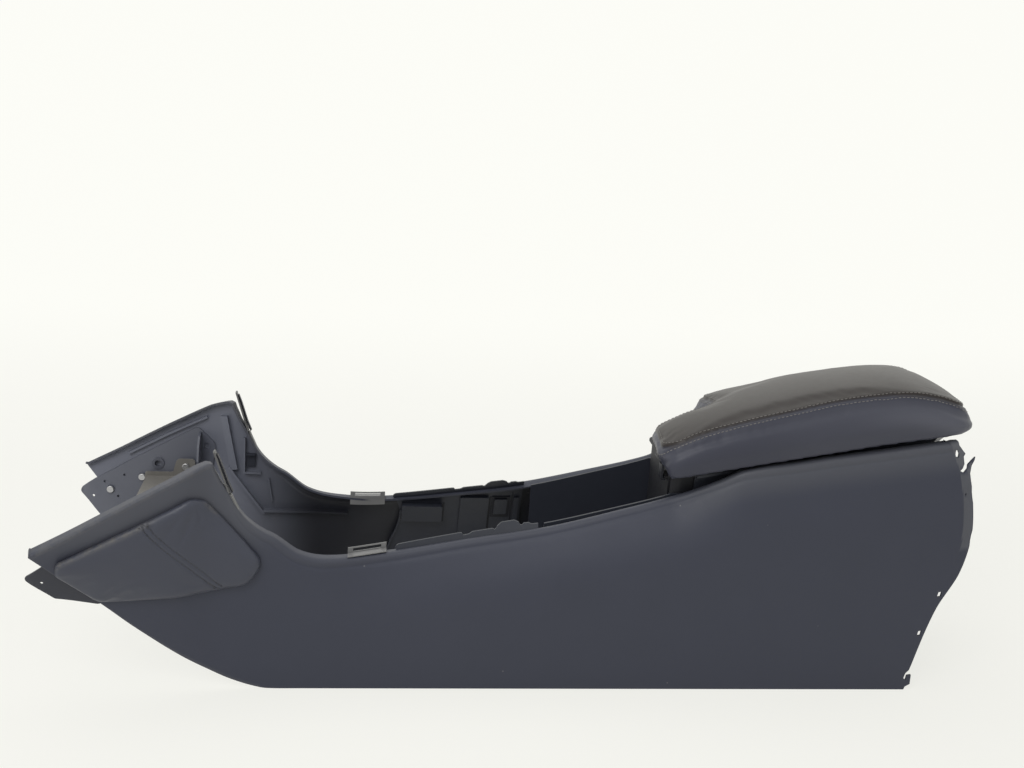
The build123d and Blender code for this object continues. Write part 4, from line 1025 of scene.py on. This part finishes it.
def stuffed(piece: bpy.types.Object, voxel: float, pressure: float, cap: float,
            held: Callable[[np.ndarray], np.ndarray], smoothing: int) -> bpy.types.Object:
    """Remeshes a plain form and swells it as a filled cover.

    Args:
        piece: The closed form, slightly smaller than the finished one.
        voxel: Size of the remesh, in millimetres.
        pressure: Pressure inside the cover.
        cap: The furthest that a point may move, in millimetres.
        held: Gives how firmly each point is held, 0 to 1, from its place in metres.
        smoothing: Rounds of smoothing after the remesh.

    Returns:
        The same object with the swollen mesh.
    """
    shape = piece.modifiers.new("cover", "REMESH")
    shape.mode, shape.voxel_size, shape.use_smooth_shade = "VOXEL", voxel * MM, True
    soften = piece.modifiers.new("soften", "SMOOTH")
    soften.factor, soften.iterations = 0.5, smoothing
    bake(piece)
    rest = read(piece.data).astype(float)
    firm = held(rest)
    group = piece.vertex_groups.new(name="held")
    for i, weight in enumerate(firm):
        if weight > 0.01:
            group.add([i], float(weight), "REPLACE")
    cloth = piece.modifiers.new("fill", "CLOTH")
    settings = cloth.settings
    settings.use_pressure, settings.uniform_pressure_force = True, pressure
    settings.effector_weights.gravity = 0.0
    settings.vertex_group_mass = "held"
    settings.quality = 5
    settings.mass = 0.3
    settings.tension_stiffness = settings.compression_stiffness = 15
    cloth.collision_settings.use_collision = False
    cloth.point_cache.frame_start, cloth.point_cache.frame_end = 1, CLOTH_FRAMES
    for step in range(1, CLOTH_FRAMES + 1):
        bpy.context.scene.frame_set(step)
    bake(piece)
    bpy.context.scene.frame_set(1)
    piece.vertex_groups.clear()
    move = read(piece.data).astype(float) - rest
    length = np.linalg.norm(move, axis=1, keepdims=True)
    limit = cap * MM
    move *= np.where(length > 1e-9, limit * np.tanh(length / limit) / np.maximum(length, 1e-9), 1)
    move[~np.isfinite(move).all(1)] = 0
    log.info("%s swelled by up to %.1f mm", piece.name, float(np.linalg.norm(move, axis=1).max()) / MM)
    piece.data.vertices.foreach_set("co", (rest + move).astype(np.float32).ravel())
    piece.data.update()
    finer = piece.modifiers.new("finer", "SUBSURF")
    finer.levels = finer.render_levels = 1
    bake(piece)
    shade_smooth(piece.data)
    return piece


def surface_of(piece: bpy.types.Object) -> BVHTree:
    """A search tree over a piece's faces."""
    graph = bpy.context.evaluated_depsgraph_get()
    return BVHTree.FromObject(piece, graph)


def settle(tree: BVHTree, points: np.ndarray, lift: float) -> np.ndarray:
    """Brings points onto a surface, a little above it.

    Args:
        tree: The surface.
        points: Points in metres near it.
        lift: How far above it they end, in millimetres.

    Returns:
        The moved points, in metres.
    """
    moved = []
    for point in points:
        place, normal, _, _ = tree.find_nearest(Vector(point))
        moved.append(place + normal * lift * MM)
    return np.array([tuple(p) for p in moved])


def carve(piece: bpy.types.Object, line: np.ndarray, width: float, depth: float) -> None:
    """Presses a soft groove into a piece along a line.

    Args:
        piece: The piece whose points move.
        line: The groove's line, close points in metres.
        width: Half width of the groove, in millimetres.
        depth: Its depth, in millimetres.
    """
    tree = KDTree(len(line))
    for i, point in enumerate(line):
        tree.insert(Vector(point), i)
    tree.balance()
    mesh = piece.data
    co, normal = read(mesh), read(mesh, "normal")
    low, high = line.min(0) - 3 * width * MM, line.max(0) + 3 * width * MM
    for i in np.nonzero(((co > low) & (co < high)).all(1))[0]:
        gap = tree.find(co[i])[2]
        if gap < 2.5 * width * MM:
            co[i] -= normal[i] * depth * MM * math.exp(-((gap / (width * MM)) ** 2))
    mesh.vertices.foreach_set("co", co.ravel())
    mesh.update()


def resample(points: np.ndarray, step: float) -> np.ndarray:
    """Points along a line at one spacing, in the line's own unit."""
    lengths = np.concatenate([[0], np.cumsum(np.linalg.norm(np.diff(points, axis=0), axis=1))])
    places = np.linspace(0, lengths[-1], max(2, int(round(lengths[-1] / step))) + 1)
    return np.stack([np.interp(places, lengths, points[:, k]) for k in range(points.shape[1])], 1)


class Stitcher:
    """Sews rows of stitches along lines with one geometry node tree."""

    def __init__(self) -> None:
        """Builds the tree once."""
        self.tree = self._tree()

    def _tree(self) -> bpy.types.NodeTree:
        """The node tree: points along the line, one thread bead on each."""
        tree = bpy.data.node_groups.new("stitch_row", "GeometryNodeTree")
        tree.interface.new_socket("Geometry", in_out="INPUT", socket_type="NodeSocketGeometry")
        for name, value in (("Pitch", 0.0049), ("Thread", 0.00045), ("Length", 0.0036)):
            socket = tree.interface.new_socket(name, in_out="INPUT", socket_type="NodeSocketFloat")
            socket.default_value = value
        tree.interface.new_socket("Material", in_out="INPUT", socket_type="NodeSocketMaterial")
        tree.interface.new_socket("Geometry", in_out="OUTPUT", socket_type="NodeSocketGeometry")
        n = Nodes(tree)
        inp = n.add("NodeGroupInput").outputs
        line = n.add("GeometryNodeMeshToCurve", {"Mesh": inp["Geometry"]}).outputs["Curve"]
        spread = n.add("GeometryNodeCurveToPoints", {"Curve": line, "Length": inp["Pitch"]}, mode="LENGTH")
        bead = n.add("GeometryNodeMeshUVSphere", {"Segments": 6, "Rings": 5, "Radius": 1.0}).outputs["Mesh"]
        half = n.maths("MULTIPLY", inp["Length"], 0.5)
        size = n.add("ShaderNodeCombineXYZ", {"X": inp["Thread"], "Y": inp["Thread"], "Z": half}).outputs[0]
        layout = {"Points": spread.outputs["Points"], "Instance": bead,
                  "Rotation": spread.outputs["Rotation"], "Scale": size}
        laid = n.add("GeometryNodeInstanceOnPoints", layout)
        real = n.add("GeometryNodeRealizeInstances", {"Geometry": laid.outputs[0]}).outputs[0]
        soft = n.add("GeometryNodeSetShadeSmooth", {"Geometry": real}).outputs[0]
        done = n.add("GeometryNodeSetMaterial", {"Geometry": soft, "Material": inp["Material"]}).outputs[0]
        n.add("NodeGroupOutput", {"Geometry": done})
        return tree

    def sew(self, name: str, lines: Sequence[np.ndarray], pitch: float,
            thread: bpy.types.Material) -> bpy.types.Object:
        """Sews rows along lines.

        Args:
            name: The finished piece's name.
            lines: Each row's points, in metres.
            pitch: Distance from stitch to stitch, in millimetres.
            thread: What the stitches are made of.

        Returns:
            One mesh with every stitch.
        """
        mesh = bpy.data.meshes.new(name)
        points, edges = [], []
        for line in lines:
            start = len(points)
            points += [tuple(p) for p in line]
            edges += [(start + i, start + i + 1) for i in range(len(line) - 1)]
        mesh.from_pydata(points, edges, [])
        piece = link(name, mesh)
        sewing = piece.modifiers.new("sewing", "NODES")
        sewing.node_group = self.tree
        sockets = self.tree.interface.items_tree
        names = {item.name: item.identifier for item in sockets if item.in_out == "INPUT"}
        values = {"Pitch": pitch * MM, "Length": pitch * 0.72 * MM, "Material": thread}
        for key, value in values.items():
            sewing[names[key]] = value
        bake(piece)
        return piece


# ---------------------------------------------------------------- knee pads


@dataclass
class KneePad:
    """The padded leather cushion on a wing, with its double-stitched seam."""

    wardrobe: Wardrobe
    panel: SidePanel
    stitcher: Stitcher
    corners: tuple[tuple[float, float], ...] = ((31, 151), (33.5, 167), (126, 215.5), (174, 241), (190, 237),
                                                (253, 160), (236, 132), (160, 119.5), (74, 114.5))
    radii: tuple[float, ...] = (6, 5, 60, 14, 16, 16, 24, 60, 14)
    thick: float = 12.0
    seam_gap: float = 3.2
    pitch: float = 4.2

    def lift(self, flat: np.ndarray, level: float) -> np.ndarray:
        """Points on the pad, at a height above the wing's skin."""
        return self.panel.skin(flat[:, 0], flat[:, 1], -level)

    def seam(self, offset: float) -> np.ndarray:
        """One line of the seam, in metres, near the pad's surface."""
        course = [(125, 216.5), (134.5, 203), (147, 189), (162, 174.5), (177, 160), (191, 145.5), (204, 131)]
        line = resample(np.array(course, float), PACE)
        along = np.gradient(line, axis=0)
        normal = np.stack([-along[:, 1], along[:, 0]], 1) / np.linalg.norm(along, axis=1, keepdims=True)
        return metres(self.lift(line + normal * offset, self.thick))

    def build(self) -> tuple[bpy.types.Object, bpy.types.Object]:
        """Builds the left pad and its stitches.

        Returns:
            The pad and the stitches.
        """
        outline = rounded(self.corners[::-1], self.radii[::-1])
        area = np.sum(outline[:, 0] * np.roll(outline[:, 1], -1) - np.roll(outline[:, 0], -1) * outline[:, 1])
        outline = outline if area > 0 else outline[::-1]
        t = self.thick
        rings = [(1.5, 0.4), (0.0, 2.0), (0.2, t * 0.45), (2.0, t * 0.72), (5.0, t * 0.88), (10, t * 0.96)]
        pad = Cushion(outline, rings, self.lift).build("left_pad", self.wardrobe.get(KNEE))

        def held(points: np.ndarray) -> np.ndarray:
            """Firm at the back of the pad, free on its face."""
            x, y, z = from_tip(points).T
            return 1 - smooth(-y - self.panel.half(x, z), 2.0, 6.0)

        stuffed(pad, 2.6, 3.0, 3.0, held, smoothing=3)
        offsets = (-self.seam_gap, self.seam_gap)
        surface = surface_of(pad)
        for row in [settle(surface, self.seam(offset), 0.0) for offset in offsets]:
            carve(pad, row, 1.4, 1.7)
        surface = surface_of(pad)
        sewn = [settle(surface, self.seam(offset), 0.15) for offset in offsets]
        self.tint(pad)
        return pad, self.stitcher.sew("left_pad_stitches", sewn, self.pitch, self.wardrobe.get(DARK_THREAD))

    def tint(self, pad: bpy.types.Object) -> None:
        """Marks the worn upper edge of the pad and one worn spot near its rear corner."""
        x, _, z = from_tip(read(pad.data)).T
        upper = Line(((31, 160), (35, 168), (126, 215.5), (174, 241), (190, 238), (253, 160)))
        below = upper.at(x) - z
        worn = 0.8 * np.exp(-(((below - 3) / 3.5) ** 2)) * (1 - smooth(x, 110, 150))
        worn += 0.9 * np.exp(-(((x - 196) / 5) ** 2) - ((below - 5) / 2) ** 2)
        mark(pad.data, "edge", np.clip(worn, 0, 1))


# ---------------------------------------------------------------- armrest lid


@dataclass
class ArmrestLid:
    """The leather armrest: a long near half, a shorter far half and a sewn seam round the top.

    Attributes:
        wardrobe: Hands out the materials.
        stitcher: Sews the seams.
        seam_line: Height of the top along the near side.
        fall: How much lower the far side is.
        dome: Rise of the top between the sides.
        slope: Slope of the underside.
        front: Where the near half begins.
        back: Where the lid ends.
        half_width: From the middle to either side.
        far_front: Where the far half begins.
        step: Where across the two halves meet.
    """

    wardrobe: Wardrobe
    stitcher: Stitcher
    seam_line: Line = Line(((690, 290), (700, 296), (709, 302), (727, 312), (747, 321), (790, 335),
                            (850, 351), (905, 364.5), (950, 372), (990, 375.5), (1020, 373), (1042, 368),
                            (1060, 361), (1079, 346)))
    fall: Line = Line(((930, 21), (995, 17), (1043, 6), (1079, 0)))
    dome: float = 5.0
    slope: float = math.tan(math.radians(11))
    front: float = 690.0
    back: float = 1079.0
    half_width: float = 104.0
    far_front: float = 778.0
    step: float = 9.0

    def under(self, x: np.ndarray) -> np.ndarray:
        """Height of the lid's underside."""
        return 278 + (np.asarray(x, float) - 787) * self.slope

    def top(self, x: np.ndarray, y: np.ndarray) -> np.ndarray:
        """Height of the leather's top anywhere in the plan.

        Args:
            x: Places along the car.
            y: Places across it.

        Returns:
            The heights.
        """
        u = np.clip((y + 93) / 186.0, 0, 1)
        ridge = 2.5 * smooth(y - 10 - 0.45 * (x - 777), -7, 7) * (1 - smooth(x, 830, 900))
        near = 1.4 * np.clip((-80 - y) / 24.0, 0, 1) ** 2
        return self.seam_line.at(x) - self.fall.at(x) * u**1.3 + 4 * self.dome * u * (1 - u) - ridge - near

    def lift(self, flat: np.ndarray, level: float) -> np.ndarray:
        """Points on the cover: level 0 is the underside, 1 the seam, above 1 the crown."""
        x, y = flat[:, 0], flat[:, 1]
        low = self.under(x) - 2.5 - 1.5 * smooth(x, 960, 1030)
        seam = self.top(x, y)
        z = low + (seam - low) * min(level, 1.0)
        if level < 0:
            z = self.under(x) + 1.5
        return np.stack([x, y, z], 1)

    def outline(self) -> np.ndarray:
        """The plan of the lid, anticlockwise seen from above."""
        side = self.half_width
        corners = ((self.front, -side), (self.back, -side), (self.back, side), (self.far_front, side),
                   (self.far_front, self.step), (self.front + 12.5, self.step))
        return rounded(corners, (32, 34, 34, 30, 16, 24), 4.0)

    def nose(self, plan: np.ndarray) -> np.ndarray:
        """1 at the near half's nose, whose front edge runs back towards the far side, and 0 behind it."""
        across = (plan[:, 1] + self.half_width) / (self.half_width + self.step)
        return 1 - smooth(plan[:, 0] - 12.5 * np.clip(across, 0, 1.3), self.front + 3, self.front + 23)

    def seam_path(self, out: float) -> np.ndarray:
        """A line round the lid's near side, nose and rear, at the seam or beside it, in metres."""
        outline = self.outline()
        plan = inset(outline, 9.4 + out + 2 * smooth(outline[:, 0], 800, 960))
        z = self.top(plan[:, 0], plan[:, 1]) - max(0.0, -out) * 1.1
        z = z - self.nose(plan) * 8
        line = np.stack([plan[:, 0], plan[:, 1], z], 1)
        return metres(resample(np.concatenate([line, line[:1]]), PACE))

    def build(self) -> list[bpy.types.Object]:
        """Builds the cover and its stitches.

        Returns:
            The cover and the stitches.
        """
        outline = self.outline()
        front = self.nose(outline)
        rear = smooth(outline[:, 0], 800, 960)
        # For each ring: its inset along the sides, more at the nose, more at the rear, and its level.
        profile = ((11, 20, 0, -1.0), (9.5, 20, 0, -1.0), (8, 19, 0, 0.0), (4.2, 18, 0, 0.03),
                   (1.8, 17, 0, 0.1), (0.4, 15, 0, 0.24), (0.0, 11, 0, 0.40), (1.4, 6, 1.4, 0.57),
                   (4.4, 1, 3.4, 0.72), (7.8, 0, 4, 0.85), (9.6, 0, 2.6, 0.93), (9.2, 0, 2, 1.0),
                   (14.0, 0, 2, 1.0))
        rings = [(side + nose * front + tail * rear, level) for side, nose, tail, level in profile]
        cover = Cushion(outline, rings, self.lift).build("armrest_cover", self.wardrobe.get(LID))

        def held(points: np.ndarray) -> np.ndarray:
            """Firm at the underside, free above it."""
            x, _, z = from_tip(points).T
            return 1 - smooth(z - self.under(x), 4, 14)

        stuffed(cover, 3.6, 2.0, 2.5, held, smoothing=4)
        surface = surface_of(cover)
        for out, width, depth in ((0, 2.0, 2.2), (-9, 4.5, 1.2)):
            carve(cover, settle(surface, self.seam_path(out), 0.0), width, depth)
        self.tint(cover)
        surface = surface_of(cover)
        rows = [settle(surface, self.seam_path(out), 0.2) for out in (-3.6, 4.2)]
        stitches = self.stitcher.sew("armrest_stitches", rows, 4.9, self.wardrobe.get(THREAD))
        latch_room = np.array([(686, 262), (727, 262), (727, 281), (686, 276)], float)
        cut(cover, [prism("recess", latch_room, 22.6, 57.4, self.wardrobe.get(LID))])
        return [cover, stitches]

    def tint(self, cover: bpy.types.Object) -> None:
        """Marks the darker top above the seam, and the painted highlights on the near side."""
        x, y, z = from_tip(read(cover.data)).T
        rise = z - (self.top(x, y) - 5.0)
        mark(cover.data, "edge", smooth(rise, -2.0, 2.0))
        # Painted highlight below the seam: faintly paler towards the rear, a band along the rear of the side,
        # and a spot at the nose.
        shine = 0.12 * smooth(x, 780, 900) + 0.5 * smooth(x, 890, 1050) * np.exp(-(((rise + 22) / 12) ** 2))
        shine += 0.5 * np.exp(-(((x - 704) / 9) ** 2) - ((rise + 9) / 5) ** 2)
        mark(cover.data, "highlight_and_dust", (1 - smooth(rise, -6.0, -1.0)) * shine)


@dataclass
class LatchLever:
    """The latch's finger paddle, hub and hook, with the paddle tucked under the leather nose."""

    wardrobe: Wardrobe
    pivot: tuple[float, float] = (718.0, 269.7)
    middle: float = 40.0

    def build(self) -> bpy.types.Object:
        """Builds the lever.

        Returns:
            The finished piece.
        """
        x, z = self.pivot
        material = self.wardrobe.get(INNER)
        ring = [(x + 4.2 * math.cos(a), z + 4.2 * math.sin(a)) for a in np.radians(np.arange(0, 360, 15))]
        paddle = [(x + 1, z - 3.9), (x - 4, z - 4.6), (x - 8.5, z - 2.2), (x - 8.8, z + 0.4),
                  (x - 5, z + 2.6), (x - 2, z + 3)]
        low = z - 23
        hook = [(x - 4.2, z), (x - 4.2, low - 3), (x + 1.5, low - 3), (x + 2.5, low), (x - 1.4, low),
                (x - 1.4, z)]
        parts = []
        for name, shape, half in (("hub", ring, 15.0), ("paddle", paddle, 14.9), ("hook", hook, 7.5)):
            part = prism(name, np.array(shape), self.middle - half, self.middle + half, material)
            soft = part.modifiers.new("soft", "BEVEL")
            soft.width, soft.segments, soft.limit_method = 0.5 * MM, 2, "ANGLE"
            bake(part)
            sharpen(part, 30)
            parts.append(part)
        return join("latch_paddle", parts)


# ---------------------------------------------------------------- studio


@dataclass(frozen=True)
class Studio:
    """Floor, backdrop, lamps and camera.

    Attributes:
        camera_place: Where the camera stands, in metres.
        right: The picture's right.
        up: The picture's up.
        forward: Where the camera looks.
        lens: Its focal length, in millimetres on a sensor 36 mm wide.
        white: Colour of the floor's glow and of the world.
        share: Share of the glow in what the camera sees of the floor.
        back: Where the floor starts to rise.
        bend: Radius of the rise.
        half_floor: Half the floor's width.
        floor_gap: How far the floor lies below the object's foot.
    """

    camera_place: tuple[float, float, float] = (-0.1886, -1.430, 0.7429)
    right: tuple[float, float, float] = (0.99222, -0.10664, 0.06430)
    up: tuple[float, float, float] = (-0.03303, 0.27249, 0.96159)
    forward: tuple[float, float, float] = (0.12006, 0.95623, -0.26684)
    lens: float = 43.95
    white: tuple[float, float, float, float] = (1.0, 1.0, 0.95, 1.0)
    share: float = 0.74
    back: float = 2.2
    bend: float = 1.2
    half_floor: float = 7.0
    floor_gap: float = 0.0002

    def seen(self, n: Nodes) -> bpy.types.NodeSocket:
        """1 for rays that see the surroundings, straight or in a reflection, 0 for the rest."""
        rays = n.add("ShaderNodeLightPath").outputs
        mirrored_too = n.maths("ADD", rays["Is Glossy Ray"], rays["Is Transmission Ray"])
        return n.maths("ADD", rays["Is Camera Ray"], mirrored_too, clamp=True)

    def floor(self) -> None:
        """A large pale floor with a curved rise behind the object."""
        material = bpy.data.materials.new("studio_white")
        material.use_nodes = True
        n = Nodes(material.node_tree)
        shader = material.node_tree.nodes["Principled BSDF"]
        shader.inputs["Base Color"].default_value = (0.84, 0.83, 0.80, 1)
        shader.inputs["Roughness"].default_value = 0.9
        shader.inputs["Specular IOR Level"].default_value = 0.1
        glow = n.add("ShaderNodeEmission", {"Color": self.white, "Strength": 1.0})
        far = n.ramp(n.add("ShaderNodeSeparateXYZ", {0: n.place()}).outputs[1], 0.2, 2.0)
        share = n.maths("ADD", self.share, n.maths("MULTIPLY", far, 0.96 - self.share))
        mix = n.add("ShaderNodeMixShader", {0: n.maths("MULTIPLY", share, self.seen(n))})
        end = material.node_tree.nodes["Material Output"]
        for node, socket in ((shader, mix.inputs[1]), (glow, mix.inputs[2]), (mix, end.inputs[0])):
            n.tree.links.new(node.outputs[0], socket)
        back, bend, half = self.back, self.bend, self.half_floor
        turns = np.radians(np.arange(10, 91, 10))
        rows = [(-6.0, 0.0), (back, 0.0)]
        rows += [(back + bend * math.sin(a), bend * (1 - math.cos(a))) for a in turns]
        rows.append((back + bend, 6.0))
        points = [(x, y, z - self.floor_gap) for y, z in rows for x in (-half, half)]
        faces = [[2 * i, 2 * i + 1, 2 * i + 3, 2 * i + 2] for i in range(len(rows) - 1)]
        new_mesh("studio_floor", np.array(points), faces, material)

    def lamps(self) -> None:
        """A large soft lamp above and behind, another in front to the left, and a pale world."""
        lamps = (("lamp_above", (-0.5, 0.9, 2.7), 3.0, 18.0), ("lamp_front", (-1.3, -2.3, 2.5), 2.2, 42.0))
        for name, place, size, power in lamps:
            light = bpy.data.lights.new(name, "AREA")
            light.shape, light.size, light.energy = "SQUARE", size, power
            aim = (Vector((0.05, 0, 0.15)) - Vector(place)).to_track_quat("-Z", "Y")
            link(name, light).matrix_world = Matrix.Translation(place) @ aim.to_matrix().to_4x4()
        world = bpy.data.worlds.new("studio_world")
        world.use_nodes = True
        n = Nodes(world.node_tree)
        back = world.node_tree.nodes["Background"]
        back.inputs["Color"].default_value = self.white
        split = n.add("ShaderNodeSeparateXYZ", {0: n.add("ShaderNodeTexCoord").outputs["Generated"]}).outputs
        behind = n.maths("MULTIPLY", n.ramp(split[1], -0.3, 0.6), 0.55)
        above = n.maths("MULTIPLY", n.ramp(split[2], 0.0, 1.0), 0.2)
        room = n.maths("ADD", above, n.maths("ADD", behind, 0.2))
        strength = n.add("ShaderNodeMix", {0: self.seen(n), 2: room, 3: 1.0}, data_type="FLOAT").outputs[0]
        world.node_tree.links.new(strength, back.inputs["Strength"])
        bpy.context.scene.world = world

    def camera(self) -> None:
        """The camera at the photograph's place."""
        data = bpy.data.cameras.new("camera")
        data.lens, data.sensor_width, data.sensor_fit = self.lens, 36.0, "HORIZONTAL"
        camera = link("camera", data)
        turn = Matrix((self.right, self.up, tuple(-v for v in self.forward))).transposed()
        camera.matrix_world = Matrix.Translation(self.camera_place) @ turn.to_4x4()
        bpy.context.scene.camera = camera
        bpy.context.scene.view_settings.view_transform = "Standard"


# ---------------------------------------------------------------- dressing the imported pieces


def dress_nodes(wardrobe: Wardrobe) -> None:
    """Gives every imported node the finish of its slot."""
    slots = {row["node"]: row["material_slot"] for row in frame["record"]["subparts"]}
    for name, node in frame["nodes"].items():
        finish = NODE_FINISH.get(name, FINISH_OF[slots[name]])
        for i in range(len(node.material_slots)):
            node.material_slots[i].material = wardrobe.get(finish)
        log.info("dressed %s with %s", name, finish.name)


def place(piece: bpy.types.Object, body: str, slot: str, *replaced: str) -> None:
    """Seats a finished piece on its body.

    Args:
        piece: The piece.
        body: The body that it moves with.
        slot: The record's material slot; not used.
        *replaced: The nodes that it stands for.
    """
    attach(piece, body)
    if replaced:
        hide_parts(*replaced)
    log.info("%s rides on %s: %d faces", piece.name, body, len(piece.data.polygons))


def main() -> None:
    """Builds every piece in order."""
    studio = Studio()
    studio.camera()
    studio.floor()
    studio.lamps()
    wardrobe = Wardrobe()
    dress_nodes(wardrobe)
    stitcher = Stitcher()
    panel = SidePanel(wardrobe)
    left = panel.build()
    right = mirrored(left, "right_panel")
    place(left, "console", "panel_plastic", "left_side_panel")
    place(right, "console", "panel_plastic", "right_side_panel")
    wall = panel.liner()
    place(wall, "console", "inner_plastic", "left_liner")
    place(mirrored(wall, "right_inner_wall"), "console", "inner_plastic", "right_liner")
    pad, stitches = KneePad(wardrobe, panel, stitcher).build()
    for side in Side:
        shown = pad if side is Side.LEFT else mirrored(pad, "right_pad")
        sewn = stitches if side is Side.LEFT else mirrored(stitches, "right_pad_stitches")
        place(shown, "console", "pad_leather", f"{side.value}_knee_pad")
        place(sewn, "console", "pad_leather")
    cover, stitches = ArmrestLid(wardrobe, stitcher).build()
    place(cover, "armrest", "armrest_leather", "armrest_pad")
    place(stitches, "armrest", "armrest_leather")
    place(LatchLever(wardrobe).build(), "latch", "inner_plastic", "latch_lever")


if __name__ == "__main__":
    logging.basicConfig(level=logging.INFO, format="%(message)s")
    main()
